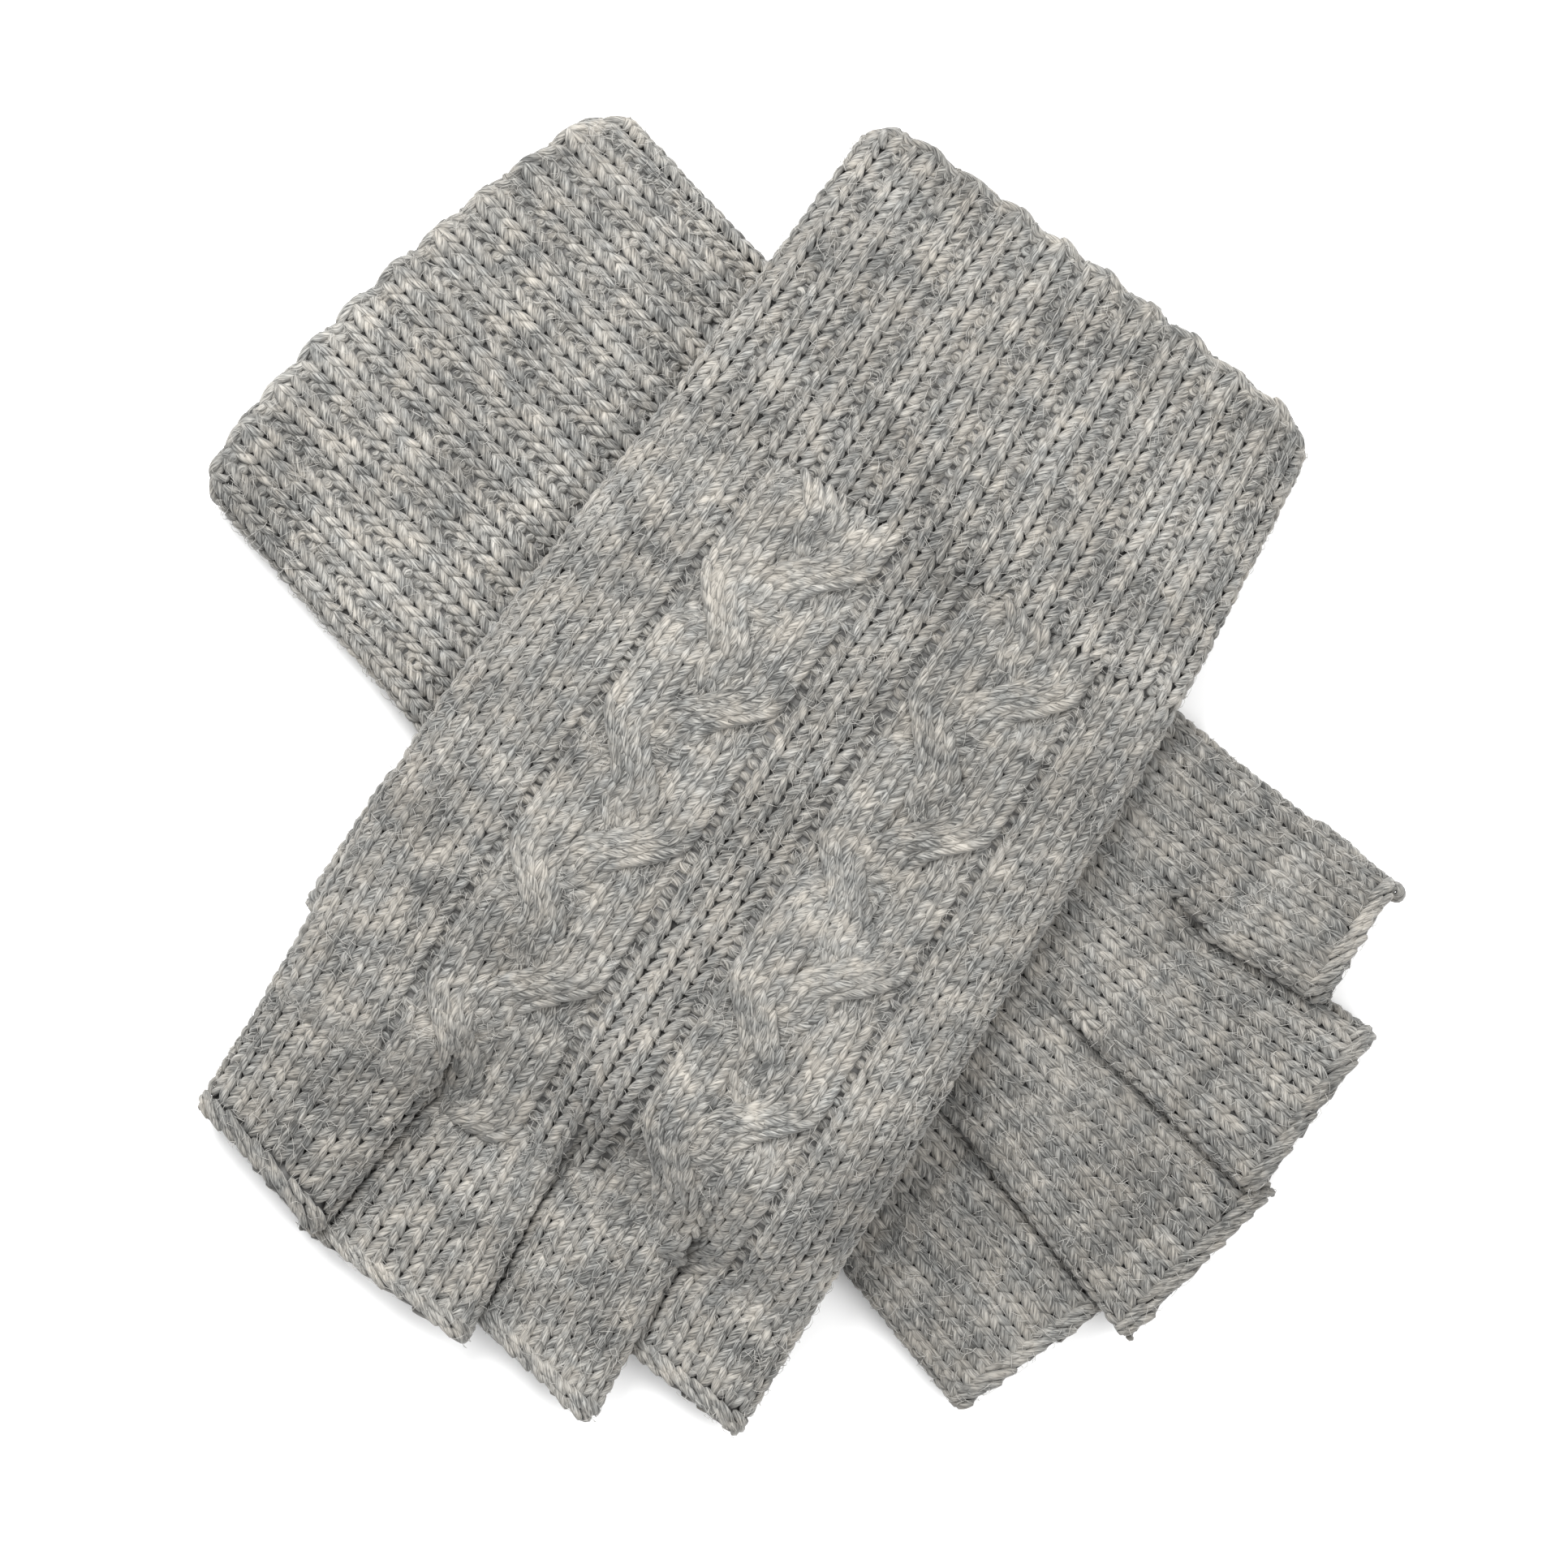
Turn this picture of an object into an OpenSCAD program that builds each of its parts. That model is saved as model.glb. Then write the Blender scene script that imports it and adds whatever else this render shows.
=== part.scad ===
// A crossed pair of half-finger gloves knitted in thick wool, lying on a flat surface.
// The right glove lies palm up. The left glove lies across it, back up, with two plait cables.
//
// Every point of a glove is given by s, its distance from the open end of the cuff, t, its
// distance across the hand (positive towards the little finger), and h, its height above the
// middle plane of the flattened glove. place() turns s, t and h into a point in space.

/* [Pair] */
// Heading of the left glove's fingers, anticlockwise from +X, in degrees
left_heading = -123; // [-128:1:-118]
// Heading of the right glove's fingers, anticlockwise from +X, in degrees
right_heading = -47; // [-52:1:-42]
// Air left between the left glove and what it lies on
lying_gap = 0.6; // [0.5:0.1:1]
// Distance over which the left glove comes down beside the right one
drape_run = 38; // [34:1:44]

/* [Glove] */
// Length of the ribbed cuff
cuff_length = 50; // [44:1:56]
// Width of the flattened palm
palm_width = 98; // [92:1:104]
// Thickness of the flattened glove, both layers and the room between them
glove_thickness = 8.6; // [8.2:0.1:9.4]
// Thickness of the knitted fabric
fabric = 1.6; // [1.4:0.1:1.8]
// Height of the plait cables above the back
cable_height = 1.2; // [0.8:0.1:1.6]

/* [Fingers] */
// Gap between neighbouring finger tubes
finger_gap = 1.2; // [1.2:0.1:1.6]
// Length of the bound-off rim at the end of a finger tube
rim_length = 3; // [2:0.5:4]
// Length of the thumb tube with its rim
thumb_length = 25; // [22:1:27]
// Width of the flattened thumb tube
thumb_width = 24; // [20:1:25]
// Thickness of the flattened thumb tube
thumb_thickness = 7.4; // [7.2:0.1:8]

/* [Hidden] */

LEFT = 0;
RIGHT = 1;
INDEX = 0;
MIDDLE = 1;
RING = 2;
LITTLE = 3;
UP = 1;
DOWN = -1;

round_r = glove_thickness / 2;      // radius of the folded side edges
width_scale = palm_width / 98;      // the outlines below are drawn for a 98 mm palm
joint_gap = 0.6;                    // slit between bodies that hinge on each other
drape_inset = 2;                    // distance from the right glove's edge where the drape starts
drape_power = 6;                    // how closely the drape follows the highest of its supports
layer_gap = 0.3;                    // air between the thumb tube and the palm it lies on
thumb_wall = 1.4;                   // thickness of the thumb tube's fabric
thumb_run = 22;                     // distance in which the fabric comes down beside a thumb
thumb_margin = 3;                   // flat part of the fabric all round a thumb under it
crotch_depth = 2;                   // length of the walls between the fingers
crotch_width = 1.6;                 // thickness of the walls between the fingers
crotch_play = 0.8;                  // air over and under the walls between the fingers
right_top = cable_height + glove_thickness;    // height of the right glove's palm
edge_length = 2.4;                  // length of the last courses of the cuff
heading = [left_heading, right_heading];
cuff_end = [[46.17, 75.85], [-60.83, 70.55]];   // place of s = 0, t = 0 of each glove
back_side = [UP, DOWN];                       // the side of each glove that its back is on

// Outline of each glove: distance from the cuff's end, index edge, little-finger edge.
outline = [
    [[0, -41.7, 41.3], [25, -43, 43.9], [50, -44.5, 46.2], [115, -48.7, 48.5], [165, -46.6, 50]],
    [[0, -40.7, 45.8], [25, -41.3, 45.8], [50, -41.7, 46], [115, -46.8, 44], [165, -51, 50.5]]
];
// The cuff's end at its index edge, middle and little-finger edge: distance past s = 0.
cuff_ends = [[-3.2, -1.6, 1.4], [-2.9, -6.3, -1.6]];
// Where the finger tubes start, and the borders between neighbouring tubes: s and t at the
// foot, then t at the tip.
finger_foot = [161, 157];
borders = [
    [[-46.6, -46.4], [-18, -21], [4.5, 7.5], [28, 30.5], [50, 50.5]],
    [[-50.5, -52.3], [-23, -26], [1.5, 3.5], [26, 31.5], [50.2, 51.6]]
];
// Distance of each tube's tip from the cuff's end, at its index side and its little side.
tips = [
    [[182.6, 189.6], [190, 191.2], [187, 191], [178.2, 180.4]],
    [[182.9, 186.8], [192.4, 191.2], [189.7, 184.3], [175.2, 169.6]]
];
thumb_foot = [[123, -49.4], [115, -48]];       // s and t of the thumb tube's outer foot corner

// Places across the back, as fractions of the width: the cables' edges and what lies between.
index_cable_f = [0.205, 0.265, 0.33, 0.39, 0.452];
little_cable_f = [0.612, 0.67, 0.73, 0.79, 0.85];
panel_f = concat([0.12], index_cable_f, [0.532], little_cable_f, [0.91]);
cable_crown = [0.35, 1, 1, 1, 0.35];
cuff_f = [0.2, 0.4, 0.6, 0.8];
hand_steps = 12;
cuff_steps = 4;
tube_steps = 4;
arc_steps = 6;
side_angles = steps(90, -90, arc_steps);

function lerp(a, b, u) = a + (b - a) * u;
function steps(a, b, n) = [for (i = [0 : n]) lerp(a, b, i / n)];
function ease(u) = let (c = min(1, max(0, u))) c * c * (3 - 2 * c);
function heading_vector(g) = [cos(heading[g]), sin(heading[g])];
function across_vector(g) = [-sin(heading[g]), cos(heading[g])];

// The cuff's courses lie aslant and bowed at its end, and straighten towards the wrist.
function bow(g, s, t) =
    let (
        low = outline[g][0][1],
        high = outline[g][0][2],
        f = min(1, max(0, (t / width_scale - low) / (high - low))),
        e = cuff_ends[g]
    )
    max(0, 1 - s / cuff_length)
    * (e[0] * (1 - f) * (1 - 2 * f) + e[1] * 4 * f * (1 - f) + e[2] * f * (2 * f - 1));
function flat_place(g, s, t) =
    cuff_end[g] + (s + bow(g, s, t)) * heading_vector(g) + t * across_vector(g);

// Edge of the hand at s: side 1 is the index edge, side 2 the little-finger edge.
function row_before(g, s) =
    max([for (i = [0 : len(outline[g]) - 2]) if (outline[g][i][0] <= max(0, s)) i]);
function slope(g, i, side) =
    let (a = outline[g][max(0, i - 1)], b = outline[g][min(len(outline[g]) - 1, i + 1)])
    (b[side] - a[side]) / (b[0] - a[0]);
function edge(g, s, side) =
    let (
        i = row_before(g, s),
        a = outline[g][i],
        b = outline[g][i + 1],
        span = b[0] - a[0],
        u = min(1, max(0, (s - a[0]) / span)),
        rise = ease(u)
    )
    width_scale * (
        lerp(a[side], b[side], rise)
        + span * (slope(g, i, side) * u * (1 - u) * (1 - u)
                  - slope(g, i + 1, side) * u * u * (1 - u))
    );
function across(g, s, f) = lerp(edge(g, s, 1), edge(g, s, 2), f);

// Height of the left glove's underside: over the right glove, over the right thumb tube on it,
// and over the left glove's own thumb tube, each let down gently beside it.
function in_glove(g, point) =
    let (d = point - cuff_end[g]) [d * heading_vector(g), d * across_vector(g)];
function beside_right(q) = max(edge(RIGHT, q[0], 1) - q[1], q[1] - edge(RIGHT, q[0], 2));
function beside_thumb(g, q) =
    let (foot = thumb_foot[g])
    norm([
        max(0, foot[0] - thumb_margin - q[0], q[0] - foot[0] - thumb_length - thumb_margin),
        max(0, foot[1] - thumb_margin - q[1], q[1] - foot[1] - thumb_width - thumb_margin)
    ]);
function lift(point) =
    let (
        q = in_glove(RIGHT, point),
        over_hand = (right_top + lying_gap) * (1 - ease((beside_right(q) + drape_inset) / drape_run)),
        over_right_thumb = (right_top + thumb_thickness + layer_gap + lying_gap)
            * (1 - ease(beside_thumb(RIGHT, q) / thumb_run)),
        over_own_thumb = (thumb_thickness + layer_gap)
            * (1 - ease(beside_thumb(LEFT, in_glove(LEFT, point)) / thumb_run))
    )
    pow(
        pow(over_hand, drape_power) + pow(over_right_thumb, drape_power)
        + pow(over_own_thumb, drape_power),
        1 / drape_power
    );
function middle_height(g, point) = round_r + (g == LEFT ? lift(point) : cable_height);
function place(g, s, t, h) =
    let (point = flat_place(g, s, t)) [point[0], point[1], middle_height(g, point) + h];

// A closed solid between two grids of points. "over" is the outer skin and "under" the inner.
module sheet(over, under, turned) {
    rows = len(over);
    cols = len(over[0]);
    count = rows * cols;
    quads = concat(
        [for (i = [0 : rows - 2], j = [0 : cols - 2])
            [i * cols + j, i * cols + j + 1, (i + 1) * cols + j + 1, (i + 1) * cols + j]],
        [for (i = [0 : rows - 2], j = [0 : cols - 2])
            [count + i * cols + j, count + (i + 1) * cols + j,
             count + (i + 1) * cols + j + 1, count + i * cols + j + 1]],
        [for (i = [0 : rows - 2], last = [0, 1])
            let (a = i * cols + last * (cols - 1), b = a + cols)
            last == 0 ? [a, b, count + b, count + a] : [b, a, count + a, count + b]],
        [for (j = [0 : cols - 2], last = [0, 1])
            let (a = last * (rows - 1) * cols + j, b = a + 1)
            last == 0 ? [b, a, count + a, count + b] : [a, b, count + b, count + a]]
    );
    triangles = [for (q = quads, half = [0, 1])
        half == 0 ? [q[0], q[1], q[2]] : [q[0], q[2], q[3]]];
    faces = turned ? [for (f = triangles) [f[2], f[1], f[0]]] : triangles;
    polyhedron(points = concat([for (r = over) each r], [for (r = under) each r]), faces = faces);
}

// A closed solid between two rings swept along: a short tube with open ends.
module tube(over, under) {
    rows = len(over);
    cols = len(over[0]);
    count = rows * cols;
    function at(i, j) = i * cols + (j % cols);
    quads = concat(
        [for (i = [0 : rows - 2], j = [0 : cols - 1])
            [at(i, j), at(i, j + 1), at(i + 1, j + 1), at(i + 1, j)]],
        [for (i = [0 : rows - 2], j = [0 : cols - 1])
            [count + at(i, j), count + at(i + 1, j),
             count + at(i + 1, j + 1), count + at(i, j + 1)]],
        [for (j = [0 : cols - 1])
            [at(0, j + 1), at(0, j), count + at(0, j), count + at(0, j + 1)]],
        [for (j = [0 : cols - 1])
            [at(rows - 1, j), at(rows - 1, j + 1),
             count + at(rows - 1, j + 1), count + at(rows - 1, j)]]
    );
    triangles = [for (q = quads, half = [0, 1])
        half == 0 ? [q[0], q[1], q[2]] : [q[0], q[2], q[3]]];
    polyhedron(points = concat([for (r = over) each r], [for (r = under) each r]),
               faces = triangles);
}

// Points across one face of the glove at s, from the index edge to the little edge.
function face_t(g, s, fractions) = concat(
    [edge(g, s, 1) + round_r],
    [for (f = fractions) across(g, s, f)],
    [edge(g, s, 2) - round_r]
);
function face_grid(g, s_list, fractions, h) =
    [for (s = s_list) [for (t = face_t(g, s, fractions)) place(g, s, t, h)]];

// One face of the flattened glove: its back or its palm.
module face(g, s_list, fractions, side) {
    sheet(
        face_grid(g, s_list, fractions, side * round_r),
        face_grid(g, s_list, fractions, side * (round_r - fabric)),
        side == UP
    );
}

// The folded edge that joins the back to the palm, on the index or the little-finger side.
function fold_grid(g, s_list, outward, radius) =
    [for (s = s_list)
        let (centre = edge(g, s, outward < 0 ? 1 : 2) - outward * round_r)
        [for (a = side_angles)
            place(g, s, centre + outward * radius * cos(a), radius * sin(a))]];
module fold(g, s_list, outward) {
    sheet(
        fold_grid(g, s_list, outward, round_r),
        fold_grid(g, s_list, outward, round_r - fabric),
        outward > 0
    );
}

// A plait cable: a crowned band that lies on the back.
module cable(g, fractions) {
    side = back_side[g];
    s_list = hand_s(g);
    sheet(
        [for (s = s_list) [for (k = [0 : len(fractions) - 1])
            place(g, s, across(g, s, fractions[k]),
                  side * (round_r + cable_height * cable_crown[k]))]],
        [for (s = s_list) [for (f = fractions) place(g, s, across(g, s, f), side * round_r)]],
        side == UP
    );
}

// A ring round a flattened tube between two corners, each [s, t], at height h. Its flat sides
// have points at the fractions "between" of its width.
function ring(g, index_corner, little_corner, half, inset, h, between = []) =
    let (
        width = norm(little_corner - index_corner),
        r = half - inset,
        index_arc = [for (a = steps(90, 270, arc_steps)) [(half + r * cos(a)) / width, r * sin(a)]],
        little_arc = [for (a = steps(-90, 90, arc_steps))
            [1 + (r * cos(a) - half) / width, r * sin(a)]],
        under = [for (f = between) [f, -r]],
        over = [for (i = [1 : len(between)]) [between[len(between) - i], r]]
    )
    [for (p = concat(index_arc, under, little_arc, over))
        let (corner = lerp(index_corner, little_corner, p[0]))
        place(g, corner[0], corner[1], h + p[1])];

// A flattened tube along a strip of the glove. corners(u) are [index side, little side].
function finger_corners(g, f, u) =
    let (
        low = borders[g][f],
        high = borders[g][f + 1],
        gap_low = f == INDEX ? 0 : finger_gap / 2,
        gap_high = f == LITTLE ? 0 : finger_gap / 2,
        foot = finger_foot[g] + joint_gap / 2
    )
    [
        [lerp(foot, tips[g][f][0], u), width_scale * lerp(low[0], low[1], u) + gap_low],
        [lerp(foot, tips[g][f][1], u), width_scale * lerp(high[0], high[1], u) - gap_high]
    ];
function finger_length(g, f) = (tips[g][f][0] + tips[g][f][1]) / 2 - finger_foot[g];
module finger_part(g, f, u_list) {
    rings = [for (inset = [0, fabric]) [for (u = u_list)
        let (c = finger_corners(g, f, u)) ring(g, c[0], c[1], round_r, inset, 0)]];
    tube(rings[0], rings[1]);
}
function rim_start(g, f) = 1 - rim_length / finger_length(g, f);
module finger_tube(g, f) {
    finger_part(g, f, steps(0, rim_start(g, f), tube_steps));
}
module finger_rim(g, f) {
    finger_part(g, f, [rim_start(g, f), 1]);
}

// The thumb tube lies on the palm, beside the index edge, and points to the fingers.
module thumb_part(g, from, to, count) {
    foot = thumb_foot[g];
    h = -back_side[g] * (round_r + layer_gap + thumb_thickness / 2);
    rings = [for (inset = [0, thumb_wall]) [for (s = steps(from, to, count))
        ring(g, [foot[0] + s, foot[1]], [foot[0] + s, foot[1] + thumb_width],
             thumb_thickness / 2, inset, h)]];
    tube(rings[0], rings[1]);
}
module thumb_tube(g) {
    thumb_part(g, 0, thumb_length - rim_length, tube_steps);
}
module thumb_rim(g) {
    thumb_part(g, thumb_length - rim_length, thumb_length, 1);
}

// Short walls that close the tube of the hand between neighbouring fingers.
module finger_crotches(g) {
    for (k = [1 : 3]) {
        s_list = [finger_foot[g] - joint_gap / 2 - crotch_depth, finger_foot[g] - joint_gap / 2];
        t = width_scale * borders[g][k][0];
        grids = [for (h = [1, -1]) [for (s = s_list) [for (side = [-0.5, 0.5])
            place(g, s, t + side * crotch_width, h * (round_r - fabric - crotch_play))]]];
        sheet(grids[0], grids[1], true);
    }
}

function hand_s(g) =
    steps(cuff_length + joint_gap / 2, finger_foot[g] - joint_gap / 2, hand_steps);
cuff_s = steps(edge_length, cuff_length - joint_gap / 2, cuff_steps);
edge_s = [0, edge_length];

// The last courses of the cuff, all round its mouth.
module cuff_edge(g) {
    rings = [for (inset = [0, fabric]) [for (s = edge_s)
        ring(g, [s, edge(g, s, 1)], [s, edge(g, s, 2)], round_r, inset, 0, cuff_f)]];
    tube(rings[0], rings[1]);
}

left_wool = [0.64, 0.63, 0.61];
right_wool = [0.55, 0.54, 0.53];
rim_wool = [0.5, 0.49, 0.48];

module left_cuff_back() { color(left_wool) face(LEFT, cuff_s, cuff_f, UP); }
module left_cuff_palm() { color(left_wool) face(LEFT, cuff_s, cuff_f, DOWN); }
module left_cuff_index_side() { color(left_wool) fold(LEFT, cuff_s, -1); }
module left_cuff_little_side() { color(left_wool) fold(LEFT, cuff_s, 1); }
module left_cuff_edge() { color(rim_wool) cuff_edge(LEFT); }
module left_hand_back() { color(left_wool) face(LEFT, hand_s(LEFT), panel_f, UP); }
module left_hand_palm() { color(left_wool) face(LEFT, hand_s(LEFT), panel_f, DOWN); }
module left_hand_index_side() { color(left_wool) fold(LEFT, hand_s(LEFT), -1); }
module left_hand_little_side() { color(left_wool) fold(LEFT, hand_s(LEFT), 1); }
module left_index_cable() { color(rim_wool) cable(LEFT, index_cable_f); }
module left_little_cable() { color(rim_wool) cable(LEFT, little_cable_f); }
module left_finger_crotches() { color(rim_wool) finger_crotches(LEFT); }
module left_index_tube() { color(left_wool) finger_tube(LEFT, INDEX); }
module left_index_rim() { color(rim_wool) finger_rim(LEFT, INDEX); }
module left_middle_tube() { color(left_wool) finger_tube(LEFT, MIDDLE); }
module left_middle_rim() { color(rim_wool) finger_rim(LEFT, MIDDLE); }
module left_ring_tube() { color(left_wool) finger_tube(LEFT, RING); }
module left_ring_rim() { color(rim_wool) finger_rim(LEFT, RING); }
module left_little_tube() { color(left_wool) finger_tube(LEFT, LITTLE); }
module left_little_rim() { color(rim_wool) finger_rim(LEFT, LITTLE); }
module left_thumb_tube() { color(left_wool) thumb_tube(LEFT); }
module left_thumb_rim() { color(rim_wool) thumb_rim(LEFT); }
module right_cuff_back() { color(right_wool) face(RIGHT, cuff_s, cuff_f, DOWN); }
module right_cuff_palm() { color(right_wool) face(RIGHT, cuff_s, cuff_f, UP); }
module right_cuff_index_side() { color(right_wool) fold(RIGHT, cuff_s, -1); }
module right_cuff_little_side() { color(right_wool) fold(RIGHT, cuff_s, 1); }
module right_cuff_edge() { color(rim_wool) cuff_edge(RIGHT); }
module right_hand_back() { color(right_wool) face(RIGHT, hand_s(RIGHT), panel_f, DOWN); }
module right_hand_palm() { color(right_wool) face(RIGHT, hand_s(RIGHT), panel_f, UP); }
module right_hand_index_side() { color(right_wool) fold(RIGHT, hand_s(RIGHT), -1); }
module right_hand_little_side() { color(right_wool) fold(RIGHT, hand_s(RIGHT), 1); }
module right_index_cable() { color(rim_wool) cable(RIGHT, index_cable_f); }
module right_little_cable() { color(rim_wool) cable(RIGHT, little_cable_f); }
module right_finger_crotches() { color(rim_wool) finger_crotches(RIGHT); }
module right_index_tube() { color(right_wool) finger_tube(RIGHT, INDEX); }
module right_index_rim() { color(rim_wool) finger_rim(RIGHT, INDEX); }
module right_middle_tube() { color(right_wool) finger_tube(RIGHT, MIDDLE); }
module right_middle_rim() { color(rim_wool) finger_rim(RIGHT, MIDDLE); }
module right_ring_tube() { color(right_wool) finger_tube(RIGHT, RING); }
module right_ring_rim() { color(rim_wool) finger_rim(RIGHT, RING); }
module right_little_tube() { color(right_wool) finger_tube(RIGHT, LITTLE); }
module right_little_rim() { color(rim_wool) finger_rim(RIGHT, LITTLE); }
module right_thumb_tube() { color(right_wool) thumb_tube(RIGHT); }
module right_thumb_rim() { color(rim_wool) thumb_rim(RIGHT); }

left_cuff_back();
left_cuff_palm();
left_cuff_index_side();
left_cuff_little_side();
left_cuff_edge();
left_hand_back();
left_hand_palm();
left_hand_index_side();
left_hand_little_side();
left_index_cable();
left_little_cable();
left_finger_crotches();
left_index_tube();
left_index_rim();
left_middle_tube();
left_middle_rim();
left_ring_tube();
left_ring_rim();
left_little_tube();
left_little_rim();
left_thumb_tube();
left_thumb_rim();
right_cuff_back();
right_cuff_palm();
right_cuff_index_side();
right_cuff_little_side();
right_cuff_edge();
right_hand_back();
right_hand_palm();
right_hand_index_side();
right_hand_little_side();
right_index_cable();
right_little_cable();
right_finger_crotches();
right_index_tube();
right_index_rim();
right_middle_tube();
right_middle_rim();
right_ring_tube();
right_ring_rim();
right_little_tube();
right_little_rim();
right_thumb_tube();
right_thumb_rim();
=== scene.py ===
import math

import bpy
import mathutils
import numpy as np
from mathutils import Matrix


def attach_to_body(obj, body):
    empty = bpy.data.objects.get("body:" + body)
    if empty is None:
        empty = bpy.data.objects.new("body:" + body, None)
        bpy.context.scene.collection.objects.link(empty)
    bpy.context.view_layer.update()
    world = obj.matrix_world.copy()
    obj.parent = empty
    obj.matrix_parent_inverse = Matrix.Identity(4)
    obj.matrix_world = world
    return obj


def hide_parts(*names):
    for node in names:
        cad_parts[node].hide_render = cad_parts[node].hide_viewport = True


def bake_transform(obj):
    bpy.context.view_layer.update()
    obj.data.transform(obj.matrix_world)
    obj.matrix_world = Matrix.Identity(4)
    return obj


# A crossed pair of cable-knit half-finger gloves, knitted stitch by stitch round the CAD frame.
#
# Every glove point is given by s, its distance from the open end of the cuff, t, its distance
# across the hand (positive towards the little finger), and h, its height above the middle plane
# of the flattened glove, in millimetres. Tubes of the glove are run round by eta, from -1 at the
# index edge to 1 at the little edge, on the upper face (face = 1) or the lower one (face = -1).
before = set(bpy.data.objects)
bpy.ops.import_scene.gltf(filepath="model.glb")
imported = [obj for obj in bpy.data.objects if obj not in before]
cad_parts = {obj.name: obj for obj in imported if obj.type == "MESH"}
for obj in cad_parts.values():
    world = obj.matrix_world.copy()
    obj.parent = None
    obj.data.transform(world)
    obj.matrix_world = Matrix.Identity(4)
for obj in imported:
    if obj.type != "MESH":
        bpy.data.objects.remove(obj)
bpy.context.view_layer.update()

MM = 0.001
LEFT, RIGHT = 0, 1
SIDES = ("left", "right")
FINGERS = ("index", "middle", "ring", "little")
UP, DOWN = 1, -1
BACK_FACE = (UP, DOWN)  # the face of each glove that its back is on

# ---- sizes shared with part.scad, in millimetres; of each pair the left glove's comes first ----
HEADING = np.radians([-123.0, -47.0])  # the way that s runs on the table
CUFF_END = np.array([[46.17, 75.85], [-60.83, 70.55]])  # the point where s and t are 0
THICKNESS = 8.6  # of a flattened cuff or hand
HALF = THICKNESS / 2
CABLE_HEIGHT = 1.2  # relief of the plait cables
LYING_GAP = 0.6  # between the two gloves
LAYER_GAP = 0.3  # between a hand and its thumb tube
DRAPE_INSET = 2.0  # how far inside the right glove the drape starts
DRAPE_RUN = 38.0  # how far it takes to come down to the table
DRAPE_POWER = 6  # how closely it follows the highest thing under it
THUMB_RUN = 22.0  # how far it takes to come down beside a thumb
THUMB_MARGIN = 3.0
CUFF_LENGTH = 50.0
THUMB_LENGTH, THUMB_WIDTH, THUMB_THICKNESS = 25.0, 24.0, 7.4
# Rows of s, t of the index edge and t of the little-finger edge.
OUTLINE = (
    np.array([[0, -41.7, 41.3], [25, -43, 43.9], [50, -44.5, 46.2], [115, -48.7, 48.5],
              [165, -46.6, 50]]),
    np.array([[0, -40.7, 45.8], [25, -41.3, 45.8], [50, -41.7, 46], [115, -46.8, 44],
              [165, -51, 50.5]]),
)
# How far the cuff's open end lies past s = 0 at its index edge, middle and little-finger edge.
CUFF_ENDS = ((-3.2, -1.6, 1.4), (-2.9, -6.3, -1.6))
FINGER_FOOT = (161.0, 157.0)  # s where the finger tubes start
# t of the borders of the finger tubes, at their feet and at their tips.
BORDERS = (
    ((-46.6, -46.4), (-18, -21), (4.5, 7.5), (28, 30.5), (50, 50.5)),
    ((-50.5, -52.3), (-23, -26), (1.5, 3.5), (26, 31.5), (50.2, 51.6)),
)
# s of the slanting end of each finger tube, at its index edge and at its little-finger edge.
TIPS = (
    ((182.6, 189.6), (190, 191.2), (187, 191), (178.2, 180.4)),
    ((182.9, 186.8), (192.4, 191.2), (189.7, 184.3), (175.2, 169.6)),
)
THUMB_FOOT = ((123, -49.4), (115, -48))  # s and t of the thumb tube's first corner

# ---- the knit, in millimetres --------------------------------------------------------------
COURSE = 2.12  # length of one row of stitches
WALE = 2.98  # width of one column of stitches
CREST = 0.5  # height of the stitches' crests above the CAD face
CABLE_TURN = 6  # courses between a plait's crossings
RESTING_HEIGHT = 0.62  # middle of a yarn that lies on the table

TINY = 1e-9  # keeps a division by a length away from 0


def ease(u):
    """A smooth step from 0 to 1 as u runs from 0 to 1."""
    c = np.clip(u, 0.0, 1.0)
    return c * c * (3 - 2 * c)


def unit(vectors):
    return vectors / np.maximum(np.linalg.norm(vectors, axis=-1, keepdims=True), TINY)


def grid(*ranges):
    return [axis.ravel() for axis in np.meshgrid(*ranges, indexing="ij")]


def edge(g, s, side):
    """t of the index edge (side 1) or of the little-finger edge (side 2) at s."""
    rows = OUTLINE[g]
    s = np.asarray(s, float)
    last = len(rows) - 1
    slopes = np.array([
        (rows[min(last, k + 1), side] - rows[max(0, k - 1), side])
        / (rows[min(last, k + 1), 0] - rows[max(0, k - 1), 0])
        for k in range(last + 1)
    ])
    i = np.clip(np.searchsorted(rows[:, 0], np.maximum(0, s), side="right") - 1, 0, last - 1)
    low, high = rows[i], rows[i + 1]
    span = high[..., 0] - low[..., 0]
    u = np.clip((s - low[..., 0]) / span, 0, 1)
    straight = low[..., side] + (high[..., side] - low[..., side]) * ease(u)
    return straight + span * (slopes[i] * u * (1 - u) ** 2 - slopes[i + 1] * u * u * (1 - u))


def to_glove(g, x, y):
    """s and t of a point of the table in one glove's own directions."""
    dx, dy = x - CUFF_END[g][0], y - CUFF_END[g][1]
    cos, sin = math.cos(HEADING[g]), math.sin(HEADING[g])
    return dx * cos + dy * sin, -dx * sin + dy * cos


def beside_thumb(g, s, t):
    """Distance from a glove's thumb tube, with its margin."""
    foot_s, foot_t = THUMB_FOOT[g]
    along = np.maximum(foot_s - s, s - foot_s - THUMB_LENGTH) - THUMB_MARGIN
    across = np.maximum(foot_t - t, t - foot_t - THUMB_WIDTH) - THUMB_MARGIN
    return np.hypot(np.maximum(0, along), np.maximum(0, across))


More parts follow.
